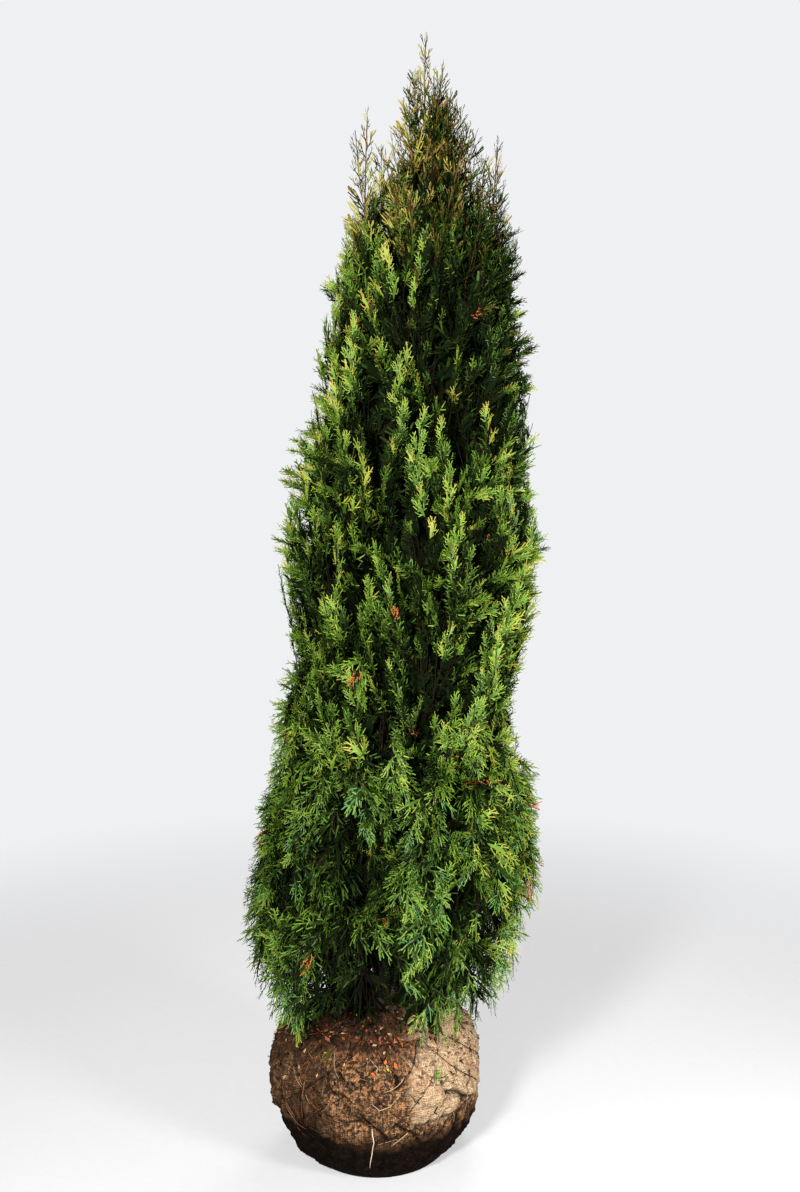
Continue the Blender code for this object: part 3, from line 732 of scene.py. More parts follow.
def burlap_finish(name, clean):
    """Woven jute. clean, from 0 to 1, is how little soil has soaked through it."""
    made = Finish(name, roughness=0.95, Specular_IOR_Level=0.02)
    place = made.place()
    x, y, z = made.axes(place)
    cloth = made.node("ShaderNodeTexCoord", output="UV")
    u, v, _ = made.axes(cloth)
    # the soil attribute: painted shade and caught soil in creases, tucks and under the lapped edge
    shade_and_soil = made.node("ShaderNodeAttribute", {"attribute_name": "soil"}, output="Fac")
    drift = made.noise(place, 14, 2) * 12
    weft = (u * (2 * math.pi * THREADS_PER_METRE) + drift).sine()
    warp = (v * (2 * math.pi * THREADS_PER_METRE) + drift).sine()
    hole = (weft * 0.5 + 0.5) * (warp * 0.5 + 0.5)
    threads = made.noise(made.stretched(cloth, (30, 300, 1)), 1, 2, 0.6)
    threads = threads + made.noise(made.stretched(cloth, (300, 30, 1)), 1, 2, 0.6)
    slubs = made.noise(made.stretched(place, (1, 1, 5)), 110, 3)
    speck = made.noise(place, 260, 2, 0.6)
    cloud = made.noise(place, 8, 5, 0.65)
    fine = made.noise(place, 48, 5, 0.72)
    grainy = made.noise(place, 105, 4, 0.7)
    jute = made.mix(slubs.between(0.3, 0.7), (0.25, 0.165, 0.090), (0.44, 0.315, 0.195))
    jute = made.mix(grainy.between(0.46, 0.66) * 0.6, jute, (0.17, 0.085, 0.037))
    # the cloth is paler at the front right, less so towards the back
    pale = x.between(0.00, 0.15) * z.between(0.085, 0.215) * (1 - y.between(0.02, 0.16) * 0.6)
    soaked = (cloud * 2.2 + fine * 1.4 - pale * 1.35 - clean).between(0.45, 1.10)
    lit = (threads * 0.35 + fine * 0.5 + grainy * 1.3).between(1.16, 1.43)
    brown = made.mix(lit, (0.006, 0.003, 0.002), (0.290, 0.138, 0.058))
    stains_and_shade = made.mix(soaked * 0.93, jute, brown)
    open_hole = hole.between(0.35, 0.95) * (fine.between(0.35, 0.6) * 0.55)
    stains_and_shade = made.mix(open_hole, stains_and_shade, (0.020, 0.010, 0.006))
    stains_and_shade = made.mix(speck.between(0.60, 0.72) * 0.6, stains_and_shade, (0.035, 0.016, 0.008))
    # painted shade and wet soil: darker towards the bottom and the left, and black at the foot under the
    # ball's belly
    low = 1 - z.between(0.030, 0.180)
    left = 1 - x.between(-0.20, 0.16)
    wet_and_shade = low * 1.3 + left * 0.38 + cloud * 1.6 + fine * 0.5 + grainy * 0.5
    stains_and_shade = made.mix(wet_and_shade.between(1.54, 1.86) * 0.8, stains_and_shade, (0.030, 0.0145, 0.007))
    black = wet_and_shade.between(1.78, 2.14)
    shade_black_and_wet = made.mix(fine.between(0.3, 0.7), (0.001, 0.0008, 0.0006), (0.009, 0.005, 0.003))
    stains_and_shade = made.mix(black, stains_and_shade, shade_black_and_wet)
    # painted shade under the crown on the top of the ball, with litter crumbs; it is left out at the front
    # right
    top = z.between(0.296, 0.350)
    rust = made.noise(place, 36, 5, 0.75).between(0.40, 0.60)
    top = top * (1 - x.between(0.03, 0.11) * (1 - y.between(-0.02, 0.06)) * 0.9)
    crumbs_and_shade = made.mix(rust, (0.006, 0.004, 0.003), (0.050, 0.021, 0.010))
    stains_and_shade = made.mix(top * 0.9, stains_and_shade, crumbs_and_shade)
    # painted shade and caught soil darken the creases, the tucks and the lapped edge
    made.color(made.mix(shade_and_soil * (0.70 + cloud * 0.5), stains_and_shade, (0.006, 0.0035, 0.002)))
    made.rough(0.84 + soaked * 0.12)
    crumple = made.noise(place, 24, 4, 0.6)
    weave = (weft + warp) * 0.45 + slubs * 0.9 + threads * 1.4
    made.relief(weave + grainy * 3.5 + crumple * 6.0, 0.0020, 1.0)
    return made.material


print("threads to the metre:", THREADS_PER_METRE)

# %% The wrapped ball
def unroll(mesh):
    """A UV map in metres: round the ball at its widest, and up it."""
    layer = mesh.uv_layers.new(name="cloth")
    for face in mesh.polygons:
        angles = []
        for loop in face.loop_indices:
            spot = mesh.vertices[mesh.loops[loop].vertex_index].co
            angles.append(turn_of(spot))
        if max(angles) - min(angles) > math.pi:
            angles = [angle + 2 * math.pi if angle < 0 else angle for angle in angles]
        for loop, angle in zip(face.loop_indices, angles):
            spot = mesh.vertices[mesh.loops[loop].vertex_index].co
            layer.data[loop].uv = (angle * UNROLLED_RADIUS, spot.z + 0.4 * spot.to_2d().length)


ball_mesh = mesh_of(ball, "burlap")
unroll(ball_mesh)
# the soil attribute carries painted shade in creases, tucks and under the lapped edge, as well as caught
# soil
soil = ball_mesh.attributes.new("soil", "FLOAT", "POINT")
soil.data.foreach_set("value", [crease_shade_and_soil(turn_of(v.co), v.co.z) for v in ball_mesh.vertices])
add_piece("burlap", ball_mesh, [burlap_finish("burlap", 0.10)], "burlap", "root_ball")
print("burlap vertices:", len(ball_mesh.vertices))

# %% [markdown]
# ## The wire net
# Two families of wires run round the ball at a slant, one each way, and cross in diamonds. Each wire is
# a thin limb pulled along its path a hair above the cloth. The paths solve the same wave that made the
# creases, so every wire lies in its own crease.

# %% Net of wires
WIRE_RADIUS = 0.0013
WIRE_SIDES = 5
WIRE_STATIONS = 34
WIRE_FOOT = 0.012  # height at which the wires come out from under the ball


def wire_path(number, way):
    """Points up one wire: at each height the angle where its own wave is whole."""
    points = []
    for i in range(WIRE_STATIONS + 1):
        height = WIRE_FOOT + (NET_TOP - WIRE_FOOT) * i / WIRE_STATIONS
        angle = number * 2 * math.pi / NET_WIRES
        for _ in range(6):
            angle += (number - net_wave(angle, height, way)) * 2 * math.pi / NET_WIRES * 0.8
        points.append(ball_point(angle, height, WIRE_RADIUS * 1.3))
    return points


net = bmesh.new()
for way in (-1, 1):
    for number in range(NET_WIRES):
        pull_limb(net, wire_path(number, way), [WIRE_RADIUS] * (WIRE_STATIONS + 1), WIRE_SIDES)
wire = Finish("net wire", roughness=0.8, Specular_IOR_Level=0.04)
wire_place = wire.place()
rust = wire.noise(wire_place, 60, 4, 0.7)
height = wire.axes(wire_place)[2]
rusty = wire.mix(rust.between(0.4, 0.65), (0.004, 0.003, 0.002), (0.024, 0.010, 0.005))
# painted shade: the wire turns black towards the foot of the ball
wire.color(wire.mix(height.between(0.06, 0.16), (0.0008, 0.0006, 0.0005), rusty))
wire.rough(0.6 + rust * 0.3)
add_piece("net_wires", mesh_of(net, "net_wires"), [wire.material], "burlap")
print("wires:", 2 * NET_WIRES)

# %% [markdown]
# ## The gathered top of the cloth
# The four corners of the cloth are drawn together round the trunk and tied, which leaves a ruffled
# collar with a few ears standing up. A short profile is spun round the trunk, and the ruffles are
# moved in by angle. One corner has come loose and stands up at the front right: a small grid, folded
# and narrowed towards its tip. Both are cloth with a real thickness, so each is made solid at the end.

# %% Collar and ears
COLLAR_SEGMENTS = 120
COLLAR_PROFILE = (  # radius and height, from the slope of the ball to the trunk
    (0.176, 0.3405), (0.150, 0.3535), (0.122, 0.3640), (0.100, 0.3720), (0.088, 0.3860),
)
CLOTH_THICK = 0.0014
EARS = (  # angle, height and half width
    (0.42, 0.050, 0.30), (2.05, 0.030, 0.26), (3.70, 0.036, 0.24), (5.45, 0.026, 0.22),
)


def ear(angle):
    """How far the cloth stands up at an angle: each ear is a rounded corner of it."""
    tall = 0.0
    for middle, height, half_width in EARS:
        tall = max(tall, height * max(0.0, 1 - (away_from(angle, middle) / half_width) ** 2))
    return tall


def collar_shape():
    centre = axis_point(BALL_HEIGHT)
    low, high = COLLAR_PROFILE[0][1], COLLAR_PROFILE[-1][1]
    shape = turned_shape(COLLAR_PROFILE, COLLAR_SEGMENTS)
    bmesh.ops.subdivide_edges(shape, edges=shape.edges, cuts=1, use_grid_fill=True)
    for v in shape.verts:
        angle = turn_of(v.co) % (2 * math.pi)
        up = max(0.0, (v.co.z - low) / (high - low))
        ruffle = math.sin(13 * angle + 2.2 * math.sin(3 * angle)) + 0.6 * math.sin(29 * angle + 1.3)
        v.co += outward(angle) * (0.0045 * ruffle * (0.35 + up) + 0.5 * ear(angle) * up)
        v.co.z += 0.003 * math.sin(7 * angle + 1) * up + ear(angle) * up + 0.002 * ruffle * up
        v.co.x += centre.x * up
    return shape


def add_loose_cloth(name, shape, finish_name, clean):
    """A loose sheet as a piece: it gets its thickness, its threads and its own share of soil."""
    bmesh.ops.recalc_face_normals(shape, faces=shape.faces)
    bmesh.ops.solidify(shape, geom=shape.faces[:], thickness=CLOTH_THICK)
    mesh = mesh_of(shape, name)
    unroll(mesh)
    add_piece(name, mesh, [burlap_finish(finish_name, clean)], "burlap")
    print(name, "vertices:", len(mesh.vertices))


add_loose_cloth("burlap_collar", collar_shape(), "loose burlap", 0.30)

# %% The loose corner
CORNER_TURN = -0.52  # where it stands, as an angle round the ball
CORNER_TALL = 0.078
CORNER_HALF = 0.046
CORNER_GRID = 12
corner = bmesh.new()
bmesh.ops.create_grid(corner, x_segments=CORNER_GRID, y_segments=CORNER_GRID, size=0.5)
corner_out = outward(CORNER_TURN)
corner_foot = corner_out * 0.205 + UP * 0.325
corner_side = outward(CORNER_TURN + math.pi / 2)
for v in corner.verts:
    across, up = 2 * v.co.x, v.co.y + 0.5
    fold = 0.010 * math.sin(4.2 * across + 1.5 * up) + 0.006 * math.sin(9 * across - 2)
    lean = -0.030 * up + 0.045 * up ** 3 + fold * (0.4 + up)
    half = CORNER_HALF * (1.15 - 0.80 * up ** 1.6)
    ragged = 0.10 * noise.noise(Vector((5 * across, 3, 0))) * up
    flat = corner_foot + corner_side * across * half
    v.co = flat + corner_out * lean + UP * CORNER_TALL * (up + ragged)
add_loose_cloth("burlap_corner", corner, "corner burlap", 0.45)

# %% [markdown]
# ## Trunk and boughs under their bark
# The wood shows only in the dark gaps between plumes and down at the foot, where hanging sprays part
# above the ball. Thuja bark is thin and stringy: narrow upright ridges that split and join. Each limb
# is pulled along its own middle line, with many sides, and its skin is then pushed out by noise that is
# stretched along the trunk. A bump adds the finest fibres.

# %% Bark on trunk and boughs
BARK_DEPTH = 0.0010
BARK_MEAN = 0.6  # the mean of the ridges, so that the wood keeps its thickness
TRUNK_STATIONS = 90
TRUNK_SIDES = 26
BOUGH_SIDES = 8
BOUGH_TAPER = 0.085  # thinner by this share at each station


def bark_relief(spot):
    """Stringy ridges: 0 in the cracks and 1 on the crests."""
    broad = noise.noise(Vector((spot.x * 60, spot.y * 60, spot.z * 5)))
    fine = noise.noise(Vector((spot.x * 150, spot.y * 150, spot.z * 14 + 3)))
    return clamp(0.5 + 0.9 * broad + 0.5 * fine)


wood = bmesh.new()
heights = [  # closer together down at the root flare
    BALL_HEIGHT + (TRUNK_TOP - BALL_HEIGHT) * (i / TRUNK_STATIONS) ** 1.3
    for i in range(TRUNK_STATIONS + 1)
]
pull_limb(wood, [axis_point(z) for z in heights], [along(TRUNK_RADII, z) for z in heights], TRUNK_SIDES)
for plume in plumes[:-1]:
    thick = min(BOUGH_RADIUS, BOUGH_TO_TRUNK * along(TRUNK_RADII, plume.bough[0].z))
    path = plume.bough + [plume.foot.lerp(plume.tip, share) for share in (0.3, 0.65, 1.0)]
    taper = [thick * (1 - BOUGH_TAPER * i) for i in range(len(path))]
    pull_limb(wood, path, taper, BOUGH_SIDES)
bmesh.ops.recalc_face_normals(wood, faces=wood.faces)
wood.normal_update()
for v in wood.verts:
    v.co += v.normal * BARK_DEPTH * (bark_relief(v.co) - BARK_MEAN)
bark = Finish("bark", roughness=0.9)
grain_place = bark.stretched(bark.place(), (1, 1, 0.09))
fibre = bark.noise(grain_place, 260, 5, 0.6)
patch = bark.noise(grain_place, 40, 3)
red = bark.mix(patch.between(0.35, 0.65), (0.045, 0.023, 0.013), (0.085, 0.045, 0.025))
bark.color(bark.mix(fibre.between(0.35, 0.75), (0.014, 0.008, 0.005), red))
bark.rough(0.75 + fibre * 0.2)
bark.relief(fibre + patch * 0.6, 0.002, 0.8)
limbs = ["trunk"] + [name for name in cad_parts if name.startswith("bough_")]
add_piece("bark", mesh_of(wood, "bark"), [bark.material], "bark", *limbs)
print("limbs under bark:", len(limbs))

# %% [markdown]
# ## How a thuja spray is drawn
# A thuja has no needles that show: its twigs are covered in tiny scales and branch in one plane, like a
# flat fern. One such spray is drawn here as a few dozen straps of two triangles each, blunt at the end
# and a little twisted. They follow its middle twig, its side twigs, which bend forward, and the short
# fingers that fork from those. Two darker blades close the spray's heart, where the real twigs overlap;
# their darkness is painted shade under the straps.
# Five sorts are enough, a few patterns of each: dense and lacy ones for the crown, antlers and wisps
# for its ragged ends, and coarse ones for the dark inside. Each use is bent, turned and sized anew.

# %% Spray patterns
STRAP_RUN = np.array([0.0, 0.0, 1.0, 1.0])  # of a strap's length, for its four corners
STRAP_HALF = np.array([-1.0, 1.0, 0.68, -0.68])  # of its half width
STRAP_TWIST = np.array([0.45, -0.45, 0.45, -0.45])  # how far its corners stand off the plane, likewise


def strap(root, angle, length, half_width, lean=0.0):
    """The corners of one strap in the spray's own plane: x to the side, y ahead, z off the plane."""
    ahead = np.array([math.sin(angle), math.cos(angle), lean])
    side = np.array([math.cos(angle), -math.sin(angle), 0.0])
    corners = np.asarray(root) + np.outer(STRAP_RUN * length, ahead)
    corners = corners + np.outer(STRAP_HALF * half_width, side)
    corners[:, 2] += STRAP_TWIST * half_width
    return corners


def spray_pattern(seed, arms, spread, half_width, forks, heart, bent=True):
    """One flat spray of unit length: its straps, and for each how many tints lighter it is."""
    chance = random.Random(seed)
    straps, lighter = [], []

    def draw(root, angle, length, lean, tint_step):
        straps.append(strap(root, angle, length, half_width, lean))
        lighter.append(tint_step)
        return root + np.array([math.sin(angle), math.cos(angle), lean]) * length

    joints = [np.zeros(3)]
    for tint_step in (-1, -1, 0, 1):  # the middle twig, darkest at its foot
        joints.append(draw(joints[-1], chance.gauss(0, 0.13), 0.25, chance.gauss(0, 0.08), tint_step))
    for i in range(arms):
        run = 0.05 + 0.88 * (i + chance.uniform(0.1, 0.9)) / arms
        k = min(3, int(run * 4))
        root = joints[k] + (joints[k + 1] - joints[k]) * (run * 4 - k)
        sign = 1 if (i + (chance.random() < 0.15)) % 2 else -1
        angle = sign * spread * chance.uniform(0.7, 1.25) * (1.15 - 0.4 * run)
        length = (0.46 * (1 - run) ** 0.7 + 0.13) * chance.uniform(0.65, 1.15)
        lean = chance.gauss(0, 0.22)
        elbow = draw(root, angle, length * (0.55 if bent else 1), lean, -1 if chance.random() < 0.5 else 0)
        if bent:
            bend_angle = angle * chance.uniform(0.3, 0.8)
            draw(elbow, bend_angle, length * 0.50, lean + chance.gauss(0, 0.2), chance.randrange(2))
        for j in range(forks[min(len(forks) - 1, int(run * len(forks)))]):
            turn = angle + (1 if (j + i) % 2 else -1) * chance.uniform(0.45, 0.95)
            fork_root = root + (elbow - root) * (0.45 + 0.55 * j)
            fork_length = length * chance.uniform(0.26, 0.44)
            draw(fork_root, turn, fork_length, lean + chance.gauss(0, 0.25), chance.randrange(2))
    # the blades' darker tint is painted shade under the straps
    if heart:  # where the straps overlap into a closed sheet, two darker blades lie between them
        for low, high, low_half, high_half in ((0, 2, 0.2, 1.0), (2, 3, 1.0, 0.45)):
            side = np.array([heart, 0, 0])
            straps.append(np.array([
                joints[low] - side * low_half, joints[low] + side * low_half,
                joints[high] + side * high_half, joints[high] - side * high_half,
            ]))
            lighter.append(-1)
    return np.array(straps), np.array(lighter)


print("corners of a strap:", len(STRAP_RUN))

# %% Sorts of sprays
SORTS = {  # patterns, first seed, side twigs, their spread, half width, forks, half width of the heart
    "dense": (6, 0, 7, 0.72, 0.0235, (1, 1, 1, 0), 0.105),
    "lacy": (5, 10, 8, 0.78, 0.0170, (2, 1, 1, 0), 0.060),
    "antler": (5, 20, 5, 0.52, 0.0200, (1, 1, 0), 0.035),
    "wisp": (4, 40, 4, 0.50, 0.0330, (0,), 0),
    "coarse": (3, 30, 6, 0.85, 0.036, (0,), 0.150),
}
PATTERNS, FIRST = [], {}  # all patterns, and for each sort the number of its first one and their count
for kind, (count, seed, *drawing) in SORTS.items():
    FIRST[kind] = (len(PATTERNS), count)
    PATTERNS += [spray_pattern(seed + i, *drawing, bent=kind != "coarse") for i in range(count)]
print("straps in a dense spray:", len(PATTERNS[0][0]))

# %% [markdown]
# ## The greens
# Young tips are yellow-green, gold towards the top of the plant, and old foliage inside is dull, brown
# and at last dead. Deeper in the crown the tints also carry painted shade, as do the low crown, its sides
# and the upper right at the front, while the lower right and the upper left get lighter tints as painted
# light. On a piece of hundreds of thousands of tiny faces a painted pattern has no use, so the colours
# are plain, each its own finish. Every spray is dealt one by where it grows, and its straps take that
# one, the next darker or the next lighter.

# %% Tints of the foliage
TINTS = {  # base colour, roughness, and the names of the next darker and the next lighter one
    "deep_green": ((0.003, 0.006, 0.0015), 0.75, "deep_green", "dark_green"),
    "dark_green": ((0.012, 0.022, 0.003), 0.65, "deep_green", "mid_green"),
    "mid_green": ((0.033, 0.069, 0.005), 0.56, "dark_green", "fresh_green"),
    "fresh_green": ((0.078, 0.146, 0.012), 0.54, "mid_green", "yellow_green"),
    "yellow_green": ((0.152, 0.198, 0.022), 0.55, "fresh_green", "gold_tips"),
    "gold_tips": ((0.225, 0.195, 0.030), 0.55, "yellow_green", "gold_tips"),
    "blue_green": ((0.030, 0.098, 0.026), 0.50, "dark_green", "fresh_green"),
    "olive": ((0.034, 0.035, 0.005), 0.60, "dark_green", "bronze"),
    "bronze": ((0.120, 0.074, 0.011), 0.60, "olive", "gold_tips"),
    "dead_orange": ((0.26, 0.078, 0.015), 0.70, "dead_brown", "dead_orange"),
    "dead_brown": ((0.0065, 0.0048, 0.002), 0.85, "dead_brown", "dead_brown"),
}
YOUNG_GLOSS = 0.16
OLD_GLOSS = 0.02
TINT_NUMBER = {name: number for number, name in enumerate(TINTS)}
TINT_STEPS = np.array([
    [TINT_NUMBER[darker], number, TINT_NUMBER[lighter]]
    for number, (_, _, darker, lighter) in enumerate(TINTS.values())
])
tint_materials = []
for name, (color, roughness, _, _) in TINTS.items():
    gloss = YOUNG_GLOSS if max(color) > 0.05 else OLD_GLOSS
    tint_materials.append(plain("foliage " + name.replace("_", " "), color, roughness, gloss))
print("tints:", len(TINTS))

# %% [markdown]
# ## Growing shoots and sprays
# Every mass grows by the rule that made its solid. Tips are spread evenly over the plume's outer face by
# two irrational steps, one in height and one round the crown. A shoot leaves the stem lower down, runs
# out and turns up to its tip, or nods over at the end, or low in the crown leaves it higher up and
# hangs. What the solid drew as one toothed blade is here a whole shoot: a twig with sprays on both
# sides of it in one plane. About half of the planes stand on edge to the trunk and half lie across,
# which gives the crown its flames. Clefts and small dark openings are left free between them.

# %% Numbers of growth, and the openings
HANG_BELOW = 1.35  # shoots begin to hang below this height
HANG_SPAN = 0.70
HANG_MOST = 0.9
RISE = 0.235  # how far below its tip an upright shoot leaves the stem
DROP = 0.130  # how far above its tip a hanging one does
SPRAY_STEP = 0.0130
SHORTEST_SPRAY = 0.026
TWIG_STATIONS = 6
TWIG_THICK = 0.0014
TWIG_TAPER = 0.0001  # thinner by this at each station
OUTLINE_SLACK = 0.010
SIDE_SLACK = 0.007  # and this much more at the sides
MOST_SPARE = 0.016
WIDEST = 0.368
BALL_ROOM = 0.012
DEEPEST, DEEP, INNER, OUTER = 0.75, 0.85, 0.905, 0.95  # limits between the tints, as shares of the reach
OPENINGS = [  # turn and height of the middle, half width and half height in metres
    (-1.66, 0.480, 0.086, 0.150), (-2.00, 0.425, 0.060, 0.070), (-1.90, 0.610, 0.050, 0.055),
    (-1.02, 0.735, 0.045, 0.050), (-1.98, 0.905, 0.045, 0.040), (-1.62, 2.050, 0.022, 0.075),
    (-1.47, 1.950, 0.026, 0.070),
    (-1.22, 1.810, 0.030, 0.095), (-1.95, 1.800, 0.026, 0.055), (-1.05, 2.180, 0.040, 0.120),
    (-1.52, 1.560, 0.026, 0.060), (-2.25, 1.480, 0.028, 0.050), (-1.20, 1.240, 0.030, 0.055),
    (-1.75, 1.100, 0.034, 0.050), (-2.40, 0.760, 0.040, 0.045), (-0.75, 0.540, 0.045, 0.040),
]
SMALL_OPENINGS = 62
opening_chance = random.Random(5)
for _ in range(SMALL_OPENINGS):  # all round the crown
    OPENINGS.append((
        opening_chance.uniform(-math.pi, math.pi), opening_chance.uniform(0.42, 2.15),
        opening_chance.uniform(0.014, 0.030), opening_chance.uniform(0.030, 0.075),
    ))


print("openings between the sprays:", len(OPENINGS))

# %% What a plume has grown
class Growth:
    """The sprays and twigs of one plume, gathered as they grow."""

    def __init__(self, plume):
        self.plume = plume
        self.sprays = []  # pattern, root, ahead, side, length, sag, tint
        self.twigs = []  # path, radii, whether it is a leading shoot

    def add_spray(self, kind, root, ahead, side, length, sag, tint):
        first, count = FIRST[kind]
        self.sprays.append((
            first + self.plume.chance.randrange(count), tuple(root), tuple(ahead), tuple(side), length,
            sag, TINT_NUMBER[tint],
        ))


print("plumes that will grow:", len(plumes))

# %% Room, and whether a shoot hangs
def slack_at(turn, height):
    """How far a spray's end may stand out of the outline: least where the crown is widest."""
    spare = 0.35 * max(0.0, WIDEST - crown_edge(turn, height))
    return OUTLINE_SLACK + SIDE_SLACK * abs(math.cos(turn)) + min(MOST_SPARE, spare)


def room_at(point):
    """How far inside the crown's outline a point is, or how far out if negative."""
    if point.z < BALL_HEIGHT + 0.02 and point.to_2d().length < ball_reach(point.z) + BALL_ROOM:
        return -1.0
    if not SKIRT_HEIGHT < point.z < TOP_TIP.z:
        return -1.0
    out = point - axis_point(point.z)
    return crown_edge(turn_of(out), point.z) - out.length


def hangs(height, chance):
    """Low in the crown most shoots arch over and hang, high in it none does."""
    return chance.random() < max(0.0, min(HANG_MOST, (HANG_BELOW - height) / HANG_SPAN))


print("room at the stem of the first plume:", round(room_at(plumes[0].middle), 3), "m")

# %% Tint of one spray
def tint_for(point, depth, tip_share, mood, chance):
    """Deals a tint: by how deep in the crown a spray ends, how high, on which side and how young; depth,
    height and side also paint shade and light into it.
    """
    height = point.z
    if chance.random() < 0.002 + 0.004 * (height < 1.0):
        return "dead_orange" if height > 0.52 else "dark_green"
    # deeper sprays are darker: painted shade of the crown's inside, and older foliage there
    shade = depth + 0.18 * (tip_share - 0.5) + mood + chance.gauss(0, 0.033)
    right = point.x - axis_point(height).x
    front = 1 - clamp((point.y + 0.02) / 0.16)
    # painted shade: the low crown is darker, most on the left and at its foot
    if height < 1.0:
        shade -= (0.060 if right < 0.12 else 0.025) + 0.06 * (height < 0.55)
    # painted shade on the upper right and painted light on the upper left, on the front half only
    elif height > 1.8:
        shade -= 0.015 + 0.42 * (min(right, 0.20) + 0.03) * front
    # painted shade at both sides of the crown; elsewhere between 1.0 and 1.4 m the crown is a little darker
    if abs(right) > 0.14 and height > 1.0:
        shade -= 0.030
    elif 1.0 <= height < 1.4:
        shade -= 0.012
    if shade < DEEPEST:
        return "deep_green" if chance.random() < 0.88 else "dead_brown"
    if shade < DEEP:
        return "deep_green" if chance.random() < 0.6 else "dark_green"
    if shade < INNER:
        return "dark_green"
    # painted shade: dark tints dealt on the upper right at the front
    shaded = 0.85 * front * clamp((height - 1.75) / 0.25)
    if right > 0.04 and height < 2.45 and chance.random() < shaded:
        return chance.choice(("deep_green", "dark_green", "dark_green", "olive"))
    if height > 2.3:
        return chance.choice(("olive", "olive", "bronze", "mid_green", "dark_green"))
    # painted light: more yellow and gold tips low on the right side
    painted_light_side = right > 0.16 and 0.55 < height < 1.4
    gold = 0.08 + 0.42 * clamp((height - 0.9) / 1.2) + 0.35 * painted_light_side
    if shade < OUTER:
        return "mid_green" if chance.random() > 0.4 * gold else "fresh_green"
    draw = chance.random()
    if draw < gold * 0.25:
        return "gold_tips" if height > 1.5 else "yellow_green"
    if draw < gold:
        return "yellow_green" if chance.random() < 0.7 else "fresh_green"
    if height < 0.95 and chance.random() < 0.5:
        return "blue_green"
    if height > 1.9 and chance.random() < 0.3:
        return "olive"
    return "fresh_green" if chance.random() < 0.7 else "mid_green"


print("limits between the tints:", DEEPEST, DEEP, INNER, OUTER)

# %% One shoot
def grow_shoot(growth, start, middle, tip, out, roll, kind, leafy_from, longest):
    """A twig from start to tip with sprays in one plane on both sides of it."""
    plume, chance = growth.plume, growth.plume.chance
    path = bend(start, middle, tip, TWIG_STATIONS)
    growth.twigs.append((path, [TWIG_THICK - TWIG_TAPER * i for i in range(len(path))], False))
    mood = chance.gauss(0, 0.022) + 0.055 * noise.noise(tip * 7)  # a whole shoot is light or dark
    run = sum((b - a).length for a, b in zip(path, path[1:])) * (1 - leafy_from)
    count = max(4, int(run / SPRAY_STEP))
    for i in range(count + 1):
        tip_share = i / count
        root, tangent = point_on(path, leafy_from + (1 - leafy_from) * tip_share)
        side = (out - tangent * out.dot(tangent)).normalized()
        side = Quaternion(tangent, roll + chance.gauss(0, 0.25)) @ side
        sign = 1 if i % 2 else -1
        widest = 0.56 if root.z > 1.25 else 0.56 + 0.45 * min(1.0, (1.25 - root.z) / 0.5)
        open_angle = (widest - 0.30 * tip_share) * chance.uniform(0.75, 1.2) if i < count else 0.0
        ahead = (tangent * math.cos(open_angle) + side * sign * math.sin(open_angle)).normalized()
        across = side * math.cos(open_angle) - tangent * sign * math.sin(open_angle)
        across = Quaternion(ahead, chance.gauss(0, 0.35)) @ across
        length = longest * (1 - 0.38 * tip_share) * chance.uniform(0.8, 1.15)
        sag = 0.0 if root.z > 1.3 else 0.28 * (1.3 - root.z) * chance.uniform(0.5, 1.3)
        while length > SHORTEST_SPRAY:
            end = root + ahead * length - UP * length * sag
            if room_at(end) > 0.12 * length - slack_at(turn_of(out), end.z):
                break
            length *= 0.8
        else:
            continue
        if is_open(end) or is_open(root.lerp(end, 0.4)):
            continue
        beyond = end - axis_point(end.z)
        depth = beyond.length / max(crown_edge(turn_of(beyond), end.z), 0.05)
        # coarse sprays inside always take the dark tints: painted shade of the inside, and old foliage
        if kind == "coarse":
            depth = min(depth, 0.78)
        tint = tint_for(end, depth, tip_share, mood, chance)
        growth.add_spray(kind, root, ahead, across, length, sag, tint)


print("stations of a twig:", TWIG_STATIONS)

# %% Where tips go, and where gaps stay
def owner_of(point):
    """The plume whose space a point is in, or is furthest inside of."""
    def inside(growth):
        return min((on - point).dot(out) for on, out in growth.plume.bounds)
    return max(growths, key=inside)


def height_at(share):
    """A height of the crown, such that even steps in share give every band its due by area."""
    total = share * SKIN_BANDS[-1][0]
    for (low, first), (high, second) in zip(SKIN_BANDS, SKIN_BANDS[1:]):
        if total <= high:
            return first + (second - first) * (total - low) / (high - low)
    return SKIN_BANDS[-1][1]


def skirt_edge(turn):
    """How low the hanging tips come on each side of the trunk."""
    wave = noise.noise(spot_round(turn, 1.9, 7.7))
    ragged = noise.noise(spot_round(turn, 7, 2.2))
    left = max(0.0, -math.cos(turn))
    lifted = 0.0
    if -1.45 < turn < 0.2:  # where the loose corner of the cloth shows
        lifted = max(0.0, math.cos(1.9 * (turn + 0.62)))
    return 0.398 - 0.040 * left + 0.125 * lifted + 0.03 * wave + 0.06 * ragged


def is_open(point, lowest_share=0.70):
    """Whether a place near the outside lies in one of the dark openings between the sprays."""
    middle = axis_point(point.z)
    reach = crown_reach(point.z)
    if (point - middle).length < lowest_share * reach:
        return False
    turn = math.atan2(point.y - middle.y, point.x - middle.x)
    for open_turn, height, half_width, half_height in OPENINGS:
        up = (point.z - height) / half_height
        if abs(up) < 1 and (away_from(turn, open_turn) * reach / half_width) ** 2 + up ** 2 < 1:
            return True
    return False


print("hanging tips at the front come down to", round(skirt_edge(-math.pi / 2), 3), "m")

